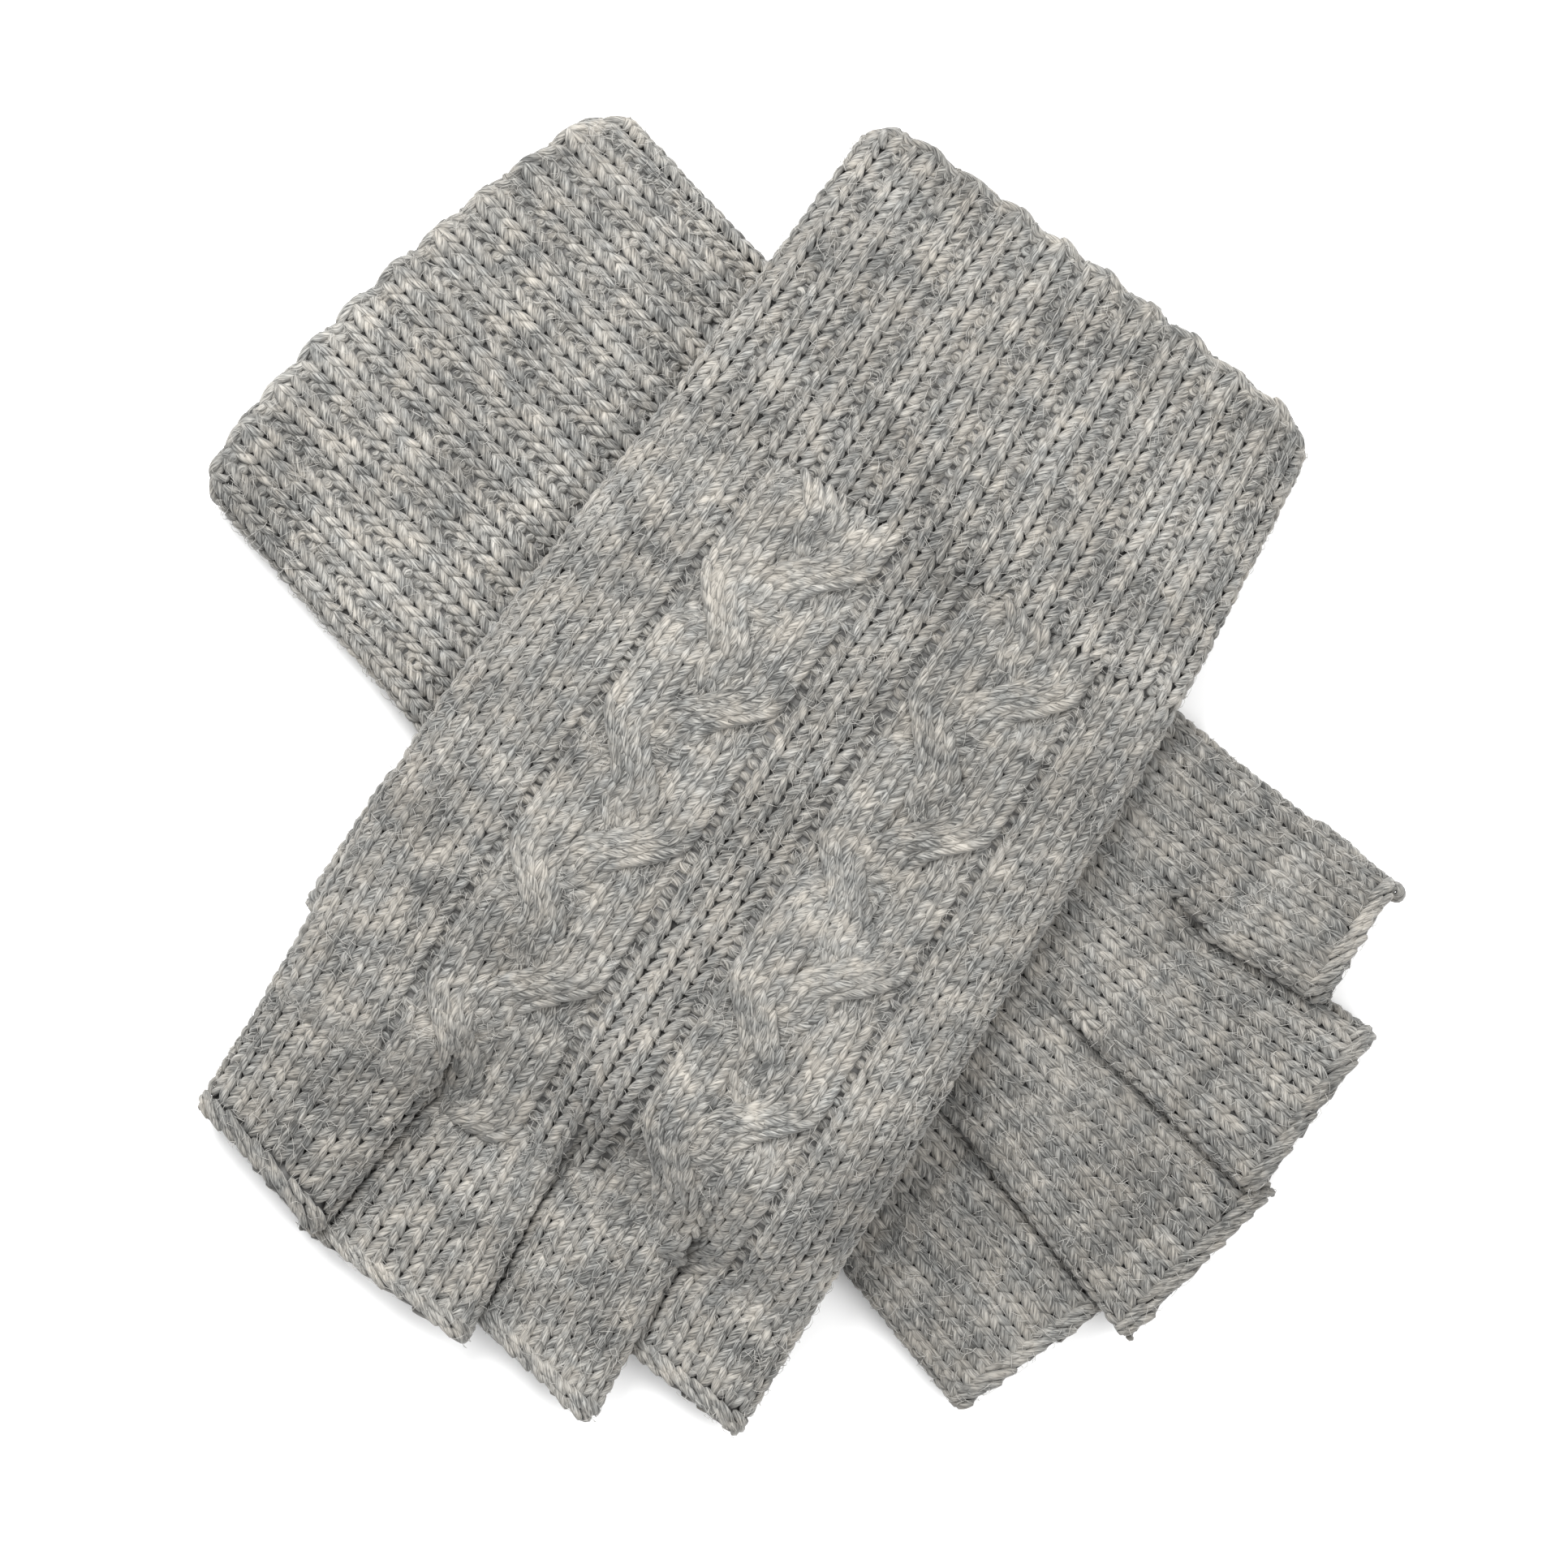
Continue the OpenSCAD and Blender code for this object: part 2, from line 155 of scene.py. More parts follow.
def lift(x, y):
    """Height of the left glove's underside above the table."""
    right_top = CABLE_HEIGHT + THICKNESS
    s, t = to_glove(RIGHT, x, y)
    beside = np.maximum(edge(RIGHT, s, 1) - t, t - edge(RIGHT, s, 2))
    over_hand = (right_top + LYING_GAP) * (1 - ease((beside + DRAPE_INSET) / DRAPE_RUN))
    thumb_top = right_top + THUMB_THICKNESS + LAYER_GAP + LYING_GAP
    over_thumb = thumb_top * (1 - ease(beside_thumb(RIGHT, s, t) / THUMB_RUN))
    own_s, own_t = to_glove(LEFT, x, y)
    over_own = (THUMB_THICKNESS + LAYER_GAP) * (
        1 - ease(beside_thumb(LEFT, own_s, own_t) / THUMB_RUN)
    )
    supports = (over_hand, over_thumb, over_own)
    return sum(height ** DRAPE_POWER for height in supports) ** (1 / DRAPE_POWER)


def bow(g, s, t):
    """How far the cuff's courses lie past s: they are aslant and bowed at its end."""
    low, high = OUTLINE[g][0, 1:]
    f = np.clip((t - low) / (high - low), 0, 1)
    index, middle, little = CUFF_ENDS[g]
    ends = index * (1 - f) * (1 - 2 * f) + middle * 4 * f * (1 - f) + little * f * (2 * f - 1)
    return np.maximum(0, 1 - s / CUFF_LENGTH) * ends


def place(g, s, t, h):
    """The point in space, in millimetres, of s, t and h on a glove."""
    cos, sin = math.cos(HEADING[g]), math.sin(HEADING[g])
    s = s + bow(g, s, t)
    x = CUFF_END[g][0] + s * cos - t * sin
    y = CUFF_END[g][1] + s * sin + t * cos
    middle = HALF + (lift(x, y) if g == LEFT else CABLE_HEIGHT)
    z = np.maximum(middle + h, RESTING_HEIGHT)
    return np.stack(np.broadcast_arrays(x, y, z), axis=-1)


class Section:
    """The outline of a flattened tube: x across (-1 to 1) and y up (0 to 1), against eta."""

    SAMPLES = 801

    def __init__(self, half_width, half_height, power):
        angle = np.linspace(-math.pi / 2, math.pi / 2, self.SAMPLES)
        x = np.sign(np.sin(angle)) * np.abs(np.sin(angle)) ** (2 / power)
        y = np.abs(np.cos(angle))
        run = np.hypot(np.diff(x) * half_width, np.diff(y) * half_height)
        length = np.concatenate([[0], np.cumsum(run)])
        self.length = length[-1]
        self.eta = length / length[-1] * 2 - 1
        self.x, self.y = x, y

    def at(self, eta):
        return np.interp(eta, self.eta, self.x), np.interp(eta, self.eta, self.y)

    def eta_of(self, x):
        return np.interp(x, self.x, self.eta)


CUFF_CORNER = 3.6  # how far the cuff's corners are rounded off
CORNER_RUN = 9.0  # the length of cuff in which they are
CORNER_WIDTH = 0.15  # and the share of its half width


class Tube:
    """One knitted tube of a glove: a cuff, a hand, a finger or a thumb."""

    NORMAL_STEP = 0.004  # step of eta over which the normals are taken

    def __init__(self, g, name, span, half_height, power, edges, rise=None, shape=None,
                 tips=None, corner=0.0):
        self.g, self.name, self.span = g, name, span
        self.half_height = half_height
        self.edges = edges  # s -> t of the two edges
        self.rise = rise  # (s, x) -> height of the middle plane
        self.shape = shape  # (s, t, h of the section) -> new h
        self.tips = tips  # s of the slanting end at the two edges
        self.corner = corner  # how far the corners at s = 0 are rounded off
        low, high = edges(np.array([sum(span) / 2]))
        self.section = Section((high[0] - low[0]) / 2, half_height, power)

    def point(self, s, eta, face, out, inset=0.0):
        """Points and outward normals. out is the height above the tube's skin."""
        eta = (np.asarray(eta, float) + 1) % 4 - 1  # a full turn is 4
        over = eta > 1
        face = np.where(over, -face, face)
        eta = np.where(over, 2 - eta, eta)
        t, h, end_s = self._flat(s, eta, face, inset)
        before = self._flat(s, eta - self.NORMAL_STEP, face, inset)
        after = self._flat(s, eta + self.NORMAL_STEP, face, inset)
        dt, dh = after[0] - before[0], after[1] - before[1]
        size = np.maximum(np.hypot(dt, dh), TINY)
        normal_t, normal_h = -face * dh / size, face * dt / size
        spot = place(self.g, end_s, t + out * normal_t, h + out * normal_h)
        cos, sin = math.cos(HEADING[self.g]), math.sin(HEADING[self.g])
        normal = np.stack(np.broadcast_arrays(-sin * normal_t, cos * normal_t, normal_h), axis=-1)
        return spot, normal

    def _flat(self, s, eta, face, inset):
        """t, h and s of points of the skin, sunk by inset."""
        beyond = np.abs(eta) > 1
        side = np.where(beyond, -1.0, 1.0)
        eta = np.where(beyond, np.sign(eta) * 2 - eta, eta)
        x, y = self.section.at(eta)
        low, high = self.edges(s)
        t = (low + high) / 2 + x * ((high - low) / 2 - inset)
        h = face * side * y * (self.half_height - inset)
        if self.shape is not None:
            h = self.shape(s, t, h)
        if self.rise is not None:
            h = h + self.rise(s, x)
        near_end = np.clip(1 - s / CORNER_RUN, 0, 1)
        near_edge = np.clip((np.abs(x) - 1 + CORNER_WIDTH) / CORNER_WIDTH, 0, 1)
        s = s + self.corner * near_end * near_edge ** 2
        if self.tips is not None:
            foot = FINGER_FOOT[self.g]
            tip = self.tips[0] + (self.tips[1] - self.tips[0]) * (x + 1) / 2
            s = np.where(s > foot, foot + (s - foot) * (tip - foot) / (self.span[1] - foot), s)
        return t, h, s


FINGER_HALF, FINGER_POWER = 3.9, 2.8  # section of the finger tubes
FINGER_START = 2.5  # how far inside the hand their stitches start
FINGER_UNDER = 2.2  # how far a tube reaches under its neighbour
UNDER_START, UNDER_RUN = 0.2, 0.5  # where it does so, as shares of the tube's length
FINGER_TILT = 2.5  # how far a tube's edge rises over its neighbour
FINGER_RAISE = (1.2, 0.0)  # how far each glove's tubes stand off the table
RAISE_RUN = 8.0


def finger_edges(g, f):
    """The edges of a finger tube: it reaches under the neighbour that lies over it."""
    low, high = BORDERS[g][f], BORDERS[g][f + 1]
    tip = sum(TIPS[g][f]) / 2
    under_low = FINGER_UNDER if g == LEFT and f > 0 else 0.0
    under_high = FINGER_UNDER if g == RIGHT and f < 3 else 0.0

    def edges(s):
        u = (s - FINGER_FOOT[g]) / (tip - FINGER_FOOT[g])
        spread = ease((u + UNDER_START) / UNDER_RUN)
        return (low[0] + (low[1] - low[0]) * u - under_low * spread,
                high[0] + (high[1] - high[0]) * u + under_high * spread)
    return edges


def finger_rise(g, f):
    """Neighbouring finger tubes overlap: one edge lies over the next tube, the other under."""
    over_next = 1 if g == LEFT else -1
    low = 0 if f == 0 else -FINGER_TILT * over_next
    high = 0 if f == 3 else FINGER_TILT * over_next

    def rise(s, x):
        raised = FINGER_RAISE[g] * ease((s - FINGER_FOOT[g]) / RAISE_RUN)
        return low + (high - low) * (x + 1) / 2 + raised
    return rise


CREASE_RUN = 15.0  # length of the hand in which the creases deepen
CREASE_POWER = 3
CREASE_FLOOR = 0.3  # share of the thickness that is left in a crease
PLAIN_EDGE = 6.0  # width beside the hand's edges that has no crease


def crease(g):
    """The hand's faces sink between the fingers as they near the finger tubes."""
    def shape(s, t, h):
        near = ease((s - FINGER_FOOT[g] + CREASE_RUN) / CREASE_RUN)
        fingers = np.zeros(np.broadcast(s, t).shape)
        offset = np.zeros_like(fingers)
        for f in range(len(FINGERS)):
            low, high = BORDERS[g][f][0], BORDERS[g][f + 1][0]
            x = (2 * t - low - high) / (high - low)
            inside = np.abs(x) <= 1
            x = np.clip(x, -1, 1)
            lens = np.sqrt(1 - np.abs(x) ** CREASE_POWER)
            fingers = np.where(inside, np.maximum(lens, CREASE_FLOOR), fingers)
            offset = np.where(inside, finger_rise(g, f)(s, x), offset)
        outer = (t < BORDERS[g][0][0] + PLAIN_EDGE) | (t > BORDERS[g][-1][0] - PLAIN_EDGE)
        scale = np.where(outer, 1.0, fingers * FINGER_HALF / HALF)
        return h * (1 + (scale - 1) * near) + offset * near * np.where(outer, 0, 1)
    return shape


def hand_edges(g):
    return lambda s: (edge(g, s, 1), edge(g, s, 2))


def thumb_edges(g):
    foot_t = THUMB_FOOT[g][1]
    return lambda s: (foot_t + 0 * s, foot_t + THUMB_WIDTH + 0 * s)


def thumb_rise(g):
    height = -BACK_FACE[g] * (HALF + LAYER_GAP + THUMB_THICKNESS / 2)
    return lambda s, x: height


FLAT_HALF, FLAT_POWER = HALF - 0.1, 9  # section of the cuffs and hands
THUMB_HALF, THUMB_POWER = THUMB_THICKNESS / 2 - 0.5, 4


def tubes_of(g):
    """Every knitted tube of one glove, by name."""
    foot = FINGER_FOOT[g]
    thumb = THUMB_FOOT[g][0]
    made = {
        "cuff": Tube(g, "cuff", (0, CUFF_LENGTH), FLAT_HALF, FLAT_POWER, hand_edges(g),
                     corner=CUFF_CORNER),
        "hand": Tube(g, "hand", (CUFF_LENGTH, foot), FLAT_HALF, FLAT_POWER, hand_edges(g),
                     shape=crease(g)),
        "thumb": Tube(g, "thumb", (thumb, thumb + THUMB_LENGTH), THUMB_HALF, THUMB_POWER,
                      thumb_edges(g), rise=thumb_rise(g)),
    }
    for f, name in enumerate(FINGERS):
        tip = sum(TIPS[g][f]) / 2
        made[name] = Tube(g, name, (foot - FINGER_START, tip), FINGER_HALF, FINGER_POWER,
                          finger_edges(g, f), rise=finger_rise(g, f), tips=TIPS[g][f])
    return made


# ---- yarn ----------------------------------------------------------------------------------
RINGS = 7  # rings of points along one short length of yarn
AROUND = 6  # and points round each ring
CAP_LENGTH = 0.6  # pointed ends, as a share of the yarn's radius
PLY_TWIST = 0.45  # how fast the fibres wind round the yarn
TONE_SPREAD = 0.22  # how much one stitch's lightness differs
rng = np.random.default_rng(41)


def rings_round(path, normal, radius, flat, around):
    """Rings of points round paths of (n, rings, 3), and the paths' directions. flat is the
    height of a ring as a share of its width."""
    along = unit(np.gradient(path, axis=1))
    side = unit(np.cross(along, normal))
    up = np.cross(side, along)
    turn = np.arange(around) / around * 2 * math.pi
    radius = radius[..., None, None]
    ring = (path[:, :, None]
            + side[:, :, None] * (radius * np.cos(turn)[:, None])
            + up[:, :, None] * (flat * radius * np.sin(turn)[:, None]))
    return ring, along


def wall_quads(rings, around):
    """The faces between the rings of a closed tube."""
    i, j = np.meshgrid(np.arange(rings - 1), np.arange(around), indexing="ij")
    after = (j + 1) % around
    return np.stack([i * around + j, i * around + after, (i + 1) * around + after,
                     (i + 1) * around + j], axis=-1).reshape(-1, 4)


class Marl:
    """The mottling of marl yarn: its light and dark lengths run along the courses."""

    CELLS = 128

    def __init__(self):
        self.values = rng.normal(0, 1, (self.CELLS, self.CELLS))

    def smooth(self, x, y):
        i, j = np.floor(x).astype(int), np.floor(y).astype(int)
        u, v = ease(x - i), ease(y - j)

        def value(a, b):
            return self.values[a % self.CELLS, b % self.CELLS]
        low = value(i, j) * (1 - u) + value(i + 1, j) * u
        high = value(i, j + 1) * (1 - u) + value(i + 1, j + 1) * u
        return low * (1 - v) + high * v

    def tone(self, w, k):
        """Lightness of the yarn at wale w and course k, about 0 on average."""
        streaks = self.smooth(w / 3.7 + 7.3, k / 1.25)
        clouds = self.smooth(w / 7.0 + 31.1, k / 4.2 + 50.7)
        return 0.5 * streaks + 0.3 * clouds


class Yarn:
    """Gathers short lengths of yarn and turns them into one mesh."""

    SIZE = RINGS * AROUND + 2  # points of one length: its rings and two ends

    def __init__(self):
        self.points, self.quads, self.caps, self.uv, self.bake = [], [], [], [], []
        self.depth, self.tone = [], []
        self.count = 0

    def add(self, centre, normal, radius, flat, bake, tone):
        """centre and normal are (n, RINGS, 3), radius is (RINGS,) or (n, RINGS) in mm.
        flat is the yarn's height as a share of its width, bake (n, RINGS, 2), tone (n,)."""
        n = len(centre)
        radius = np.broadcast_to(radius, centre.shape[:2])
        ring, along = rings_round(centre, normal, radius, flat, AROUND)
        ends = np.stack([centre[:, 0] - along[:, 0] * radius[:, :1] * CAP_LENGTH,
                         centre[:, -1] + along[:, -1] * radius[:, -1:] * CAP_LENGTH], axis=1)
        self.points.append(np.concatenate([ring.reshape(n, -1, 3), ends], axis=1).reshape(-1, 3))
        self._add_faces(n)
        self._add_maps(centre, radius, bake)
        self._add_shades(n, tone)

    def _add_faces(self, n):
        k = np.arange(AROUND)
        after = (k + 1) % AROUND
        top = (RINGS - 1) * AROUND
        first, last = self.SIZE - 2, self.SIZE - 1
        caps = np.concatenate([np.stack([np.full(AROUND, first), after, k], axis=-1),
                               np.stack([np.full(AROUND, last), top + k, top + after], axis=-1)])
        start = (self.count + np.arange(n) * self.SIZE)[:, None, None]
        self.quads.append((wall_quads(RINGS, AROUND)[None] + start).reshape(-1, 4))
        self.caps.append((caps[None] + start).reshape(-1, 3))
        self.count += n * self.SIZE

    def _add_maps(self, centre, radius, bake):
        """The yarn map runs along the yarn and winds round it; the other lays it out flat."""
        n = len(centre)
        turn = np.arange(AROUND) / AROUND * 2 * math.pi
        steps = np.linalg.norm(np.diff(centre, axis=1), axis=2)
        run = np.concatenate([np.zeros((n, 1)), np.cumsum(steps, axis=1)], axis=1)
        seed = rng.uniform(0, 90, (n, 1))
        u = np.broadcast_to((run + seed)[..., None], (n, RINGS, AROUND))
        v = turn * 0.7 + seed[..., None] * 1.7 + PLY_TWIST * u
        uv = np.stack([u, v], axis=-1).reshape(n, -1, 2)
        self.uv.append(np.concatenate([uv, uv[:, [0, -1]]], axis=1).reshape(-1, 2))
        wide = 0.8 * np.cos(turn)[:, None] * radius[..., None, None] * np.array([1.0, 0.0])
        flat = (np.repeat(bake[:, :, None], AROUND, axis=2) + wide).reshape(n, -1, 2)
        self.bake.append(np.concatenate([flat, bake[:, [0, -1]]], axis=1).reshape(-1, 2))

    def _add_shades(self, n, tone):
        """depth is 0 at the yarn's underside and ends, and 1 on its crest; the wool is darkened
        where it is low, as painted shade of the gaps between stitches.
        """
        turn = np.arange(AROUND) / AROUND * 2 * math.pi
        fade = np.sin(math.pi * np.linspace(0.06, 0.94, RINGS)) ** 0.5
        depth = np.outer(fade, 0.5 + 0.5 * np.sin(turn)).ravel()
        self.depth.append(np.tile(np.concatenate([depth, [0, 0]]), n))
        tone = np.asarray(tone) + TONE_SPREAD * rng.normal(0, 1, n)
        self.tone.append(np.repeat(tone, self.SIZE))

    def build(self, name):
        """The mesh object, with its two maps, its depth and its tone."""
        mesh = mesh_from(name, np.concatenate(self.points) * MM, np.concatenate(self.quads),
                         np.concatenate(self.caps))
        corner = np.empty(len(mesh.loops), np.int32)
        mesh.loops.foreach_get("vertex_index", corner)
        uv = np.concatenate(self.uv)[corner]
        layer = mesh.uv_layers.new(name="yarn")
        layer.data.foreach_set("uv", uv.ravel().astype(np.float32))
        bake = np.concatenate(self.bake)
        bake = (bake - bake.min(0)) / np.ptp(bake, axis=0).max()
        layer = mesh.uv_layers.new(name="OFBake")
        layer.data.foreach_set("uv", bake[corner].ravel().astype(np.float32))
        for kind, values in (("depth", self.depth), ("tone", self.tone)):
            layer = mesh.attributes.new(kind, "FLOAT", "POINT")
            layer.data.foreach_set("value", np.concatenate(values).astype(np.float32))
        return link(name, mesh)


def mesh_from(name, points, quads, tris=None):
    """A smooth-shaded mesh from numpy arrays of points and faces."""
    tris = np.zeros((0, 3), int) if tris is None else tris
    mesh = bpy.data.meshes.new(name)
    loops = np.concatenate([quads.ravel(), tris.ravel()])
    mesh.vertices.add(len(points))
    mesh.vertices.foreach_set("co", points.ravel().astype(np.float32))
    mesh.loops.add(len(loops))
    mesh.loops.foreach_set("vertex_index", loops.astype(np.int32))
    starts = np.concatenate([np.arange(len(quads)) * 4,
                             len(quads) * 4 + np.arange(len(tris)) * 3])
    mesh.polygons.add(len(starts))
    mesh.polygons.foreach_set("loop_start", starts.astype(np.int32))
    mesh.polygons.foreach_set("use_smooth", np.ones(len(starts), bool))
    mesh.update(calc_edges=True)
    mesh.validate()
    return mesh


def link(name, mesh):
    obj = bpy.data.objects.new(name, mesh)
    bpy.context.scene.collection.objects.link(obj)
    return obj


# ---- stitches ------------------------------------------------------------------------------
# One leg of a knit stitch, which is half of its V, from the finger side (V = 0) to the cuff side.
V = np.linspace(0, 1, RINGS)
LEG_X = 0.07 + 0.43 * V ** 0.85  # from the middle of the wale out to its edge
LEG_K = 0.74 - 1.5 * V  # from the finger side back towards the cuff
LEG_RISE = 0.52 * np.sin(math.pi * np.clip(V * 1.02 + 0.04, 0, 1)) ** 0.8 - 0.08 * V
LEG_RADIUS = 0.8 * np.sin(math.pi * (0.1 + 0.78 * V)) ** 0.34
LEG_DEPTH, PURL_DEPTH, EDGE_DEPTH = 0.74, 1.0, 0.6  # of the yarn's middle under the crests
ARC = np.sin(math.pi * V)  # the rise of a sideways arc of yarn
# How unevenly stitches lie along a wale, across it and in height, and how thick their yarn is.
UNEVEN_K, UNEVEN_W, UNEVEN_OUT, UNEVEN_RADIUS = 0.06, 0.05, 0.06, 0.07
DRIFT_W, DRIFT_S, DRIFT_OUT = 0.35, 0.5, 0.35  # how far the slow waves in the knit move it


class Knit:
    """Places stitches on a tube. A map, eta_of, turns s and a wale number into eta."""

    def __init__(self, tube, first_s, course):
        self.tube, self.first_s, self.course = tube, first_s, course
        self.marl = Marl()
        self.phase = rng.uniform(0, 6.28, 6)

    def wave(self, s, w):
        """Slow waves that keep wales and courses from being quite straight."""
        return (0.16 * np.sin(w * 0.31 + s * 0.045 + self.phase[0])
                + 0.13 * np.sin(w * 0.13 - s * 0.08 + self.phase[1])
                + 0.10 * np.sin(w * 0.55 + s * 0.021 + self.phase[2]))

    def spots(self, eta_of, w, k, face, out):
        """Points, normals and flat layout of wales w and courses k."""
        s = self.first_s + k * self.course
        drift = self.wave(s, w)
        eta = eta_of(s, w + DRIFT_W * drift)
        spot, normal = self.tube.point(s + DRIFT_S * drift, eta, face, out + DRIFT_OUT * drift)
        bake = np.stack([eta * self.tube.section.length / 2 * face
                         + np.where(face > 0, 0, 2 * self.tube.section.length), s], axis=-1)
        return spot, normal, bake

    def knit(self, yarn, eta_of, w, k, face, height=0.0, bend=None, size=1.0, stray=0.02,
             flat=0.8):
        """Two legs for each stitch. w and k are the stitches' middles. bend takes the wales and
        courses along the legs, and gives the wales that they move to and their rise."""
        for side in (-1, 1):
            jitter = rng.normal(0, 1, (4, len(w), 1))
            kk = k[:, None] + LEG_K + UNEVEN_K * jitter[0]
            ww = w[:, None] + side * LEG_X * (1 + UNEVEN_W * jitter[1]) + stray * jitter[1]
            out = CREST - LEG_DEPTH + height + LEG_RISE + UNEVEN_OUT * jitter[2]
            if bend is not None:
                ww, rise = bend(ww, kk)
                out = out + rise
            spot, normal, bake = self.spots(eta_of, ww, kk, face, out)
            radius = size * LEG_RADIUS * (1 + UNEVEN_RADIUS * jitter[3])
            yarn.add(spot, normal, radius, flat, bake, self.marl.tone(w + 0.3 * side, k))

    def purl(self, yarn, eta_of, w, k, face, height, width):
        """Two sideways arcs for each stitch, seen between the knit wales, and darkened there as
        painted shade.
        """
        for half, lean in ((0.0, 1), (0.5, -1)):
            jitter = rng.normal(0, 1, (3, len(w), 1))
            kk = k[:, None] + half + lean * 0.3 * ARC + 0.08 * jitter[0]
            ww = w[:, None] + width * (2 * V - 1) + 0.05 * jitter[1]
            out = height + CREST - PURL_DEPTH + 0.5 * ARC + 0.1 * jitter[2]
            spot, normal, bake = self.spots(eta_of, ww, kk, face, out)
            # the tone is lowered by 0.5: painted shade of the sunk purl arcs
            yarn.add(spot, normal, 0.98 * LEG_RADIUS, 0.9, bake, self.marl.tone(w, k) - 0.5)

    def bound_edge(self, yarn, eta_of, wales, rows):
        """Sideways chain stitches round an opening. Each of the rows has s as a function of w,
        its rise, how far its stitches lean along s, its unevenness and its size."""
        for row, (s_row, rise, lean, uneven, size) in enumerate(rows):
            jitter = rng.normal(0, 1, (5, len(wales), 1))
            w = wales[:, None] + 0.5 * row + 0.62 * (2 * V - 1) + 0.3 * uneven * jitter[0]
            s = s_row(w) + lean * (1 + uneven * jitter[1]) * (2 * V - 1)
            s = s + (0.12 + 0.5 * uneven) * jitter[2]
            out = CREST - EDGE_DEPTH + rise + 0.35 * ARC + 0.1 * jitter[3]
            eta = eta_of(s, w)
            spot, normal = self.tube.point(s, eta, UP, out)
            bake = np.stack([eta * self.tube.section.length / 2, s], axis=-1)
            radius = size * LEG_RADIUS * (1 + 0.4 * uneven * jitter[4])
            yarn.add(spot, normal, radius, 0.9, bake, self.marl.tone(wales, 0 * wales))


# Across the back: the borders of its panels as shares of the width, and the wales in each.
PANEL_EDGES = (0.185, 0.207, 0.452, 0.477, 0.587, 0.611, 0.851, 0.873)
PANEL_WALES = (7, 1, 9, 1, 3, 1, 9, 1, 5)
PANEL_START = np.concatenate([[0], np.cumsum(PANEL_WALES)])
GUTTERS = (1, 3, 5, 7)
CABLES = {"index": 2, "little": 6}
PALM_WALES = 34


def back_map(tube):
    """Wale number to eta across the back, through its panels."""
    borders = tube.section.eta_of(np.array(PANEL_EDGES) * 2 - 1)
    knots = np.concatenate([[-1], borders, [1]])
    low = (knots[1] - knots[0]) / PANEL_WALES[0]
    high = (knots[-1] - knots[-2]) / PANEL_WALES[-1]
    knots = np.concatenate([[-1 - low], knots, [1 + high]])
    wales = np.concatenate([[-1], PANEL_START, [PANEL_START[-1] + 1]])
    return lambda s, w: np.interp(w, wales, knots)


def even_map(wales):
    """Wale number to eta across a face that has wales of one width."""
    return lambda s, w: 2 * w / wales - 1


CROSSING_REACH, BUMP_REACH = 0.45, 0.62  # of a strand's step and rise, in turns


def strand_path(k, strand):
    """Where a plait's strand lies (-1, 0 or 1) and how high, at course k."""
    period = 6 * CABLE_TURN
    r = (k + 2 * CABLE_TURN * strand) % period
    reach = CROSSING_REACH * CABLE_TURN

    def step(at):
        return ease((r - at + reach) / (2 * reach)) + ease((r - at - period + reach) / (2 * reach))

    def bump(at):
        near = (r - at + period / 2) % period - period / 2
        return np.cos(np.clip(near / (BUMP_REACH * CABLE_TURN), -1, 1) * math.pi / 2) ** 2
    x = 1 - step(0) - step(CABLE_TURN) + step(3 * CABLE_TURN) + step(4 * CABLE_TURN)
    rise = bump(0) + bump(3 * CABLE_TURN) - bump(CABLE_TURN) - bump(4 * CABLE_TURN)
    return x, rise


PLAIT_START = {"index": 5.7, "little": 5.2}  # course of the first crossing above the cuff
STRAND_WALES = 3
STRAND_SQUEEZE = 0.1  # how much a strand narrows at a crossing
STRAND_RISE, STRAND_HEIGHT = 0.78, 0.22  # of a crossing, and of the strands everywhere
GROUND_HEIGHT = -0.6  # of the stitches under the strands


def knit_cable(knit, yarn, eta_of, which, courses, face):
    """Three plaited strands of three wales, over sunk plain wales."""
    start, wales = PANEL_START[CABLES[which]], PANEL_WALES[CABLES[which]]
    k = np.arange(courses) + 0.5
    knit.knit(yarn, eta_of, *grid(start + 0.5 + np.arange(wales), k), face, GROUND_HEIGHT)
    for strand in range(3):
        for across in (-1, 0, 1):
            def bend(ww, kk):
                x, rise = strand_path(kk - PLAIT_START[which], strand)
                moved = ww + STRAND_WALES * x - STRAND_SQUEEZE * across * np.abs(rise)
                return moved, STRAND_RISE * rise + STRAND_HEIGHT
            crown = 0.4 * math.cos(across * 1.1) - 0.15
            w = np.full(courses, start + wales / 2 + across)
            knit.knit(yarn, eta_of, w, k, face, crown, bend, size=1.04)


RIBS = 21  # round one cuff
RIB_WALES = 3
RIB_KNOTS = np.array([0.0, 1.2, 2.4, 3.0])  # two wide knit wales, and a narrow purl one
RIB_KNOTS = np.array([0.0, 1.2, 2.4, 3.0])  # two wide knit wales, and a narrow purl one
RIB_FADE = 12.0  # length above the wrist in which the ribs fade out
RIB_RELIEF, RIB_SINK = 0.28, 0.12
CUFF_FIRST_S = 0.9  # s of the cuff's first course
HEM_DEEP, HEM_WAVE, HEM_ROW = 0.75, 0.55, 0.95


def in_rib(w):
    """The number of the rib of wale w, and the place in it."""
    rib = np.floor(w / RIB_WALES)
    return rib, np.interp(w - rib * RIB_WALES, np.arange(RIB_WALES + 1), RIB_KNOTS)


def rib_map(s, w):
    """Wale number to eta all round the cuff, in a full turn of 4."""
    rib, inside = in_rib(w)
    return (rib * RIB_WALES + inside) / (RIB_WALES * RIBS) * 4 - 1


def rib_rise(w, s):
    """The ribs stand up at the line between their knit wales, and fade out at the wrist."""
    inside = in_rib(w)[1]
    full = 1 - 0.8 * ease((s - CUFF_LENGTH + RIB_FADE) / RIB_FADE)
    return full * (RIB_RELIEF * np.cos((inside - RIB_KNOTS[1]) / RIB_WALES * 2 * math.pi) - RIB_SINK)


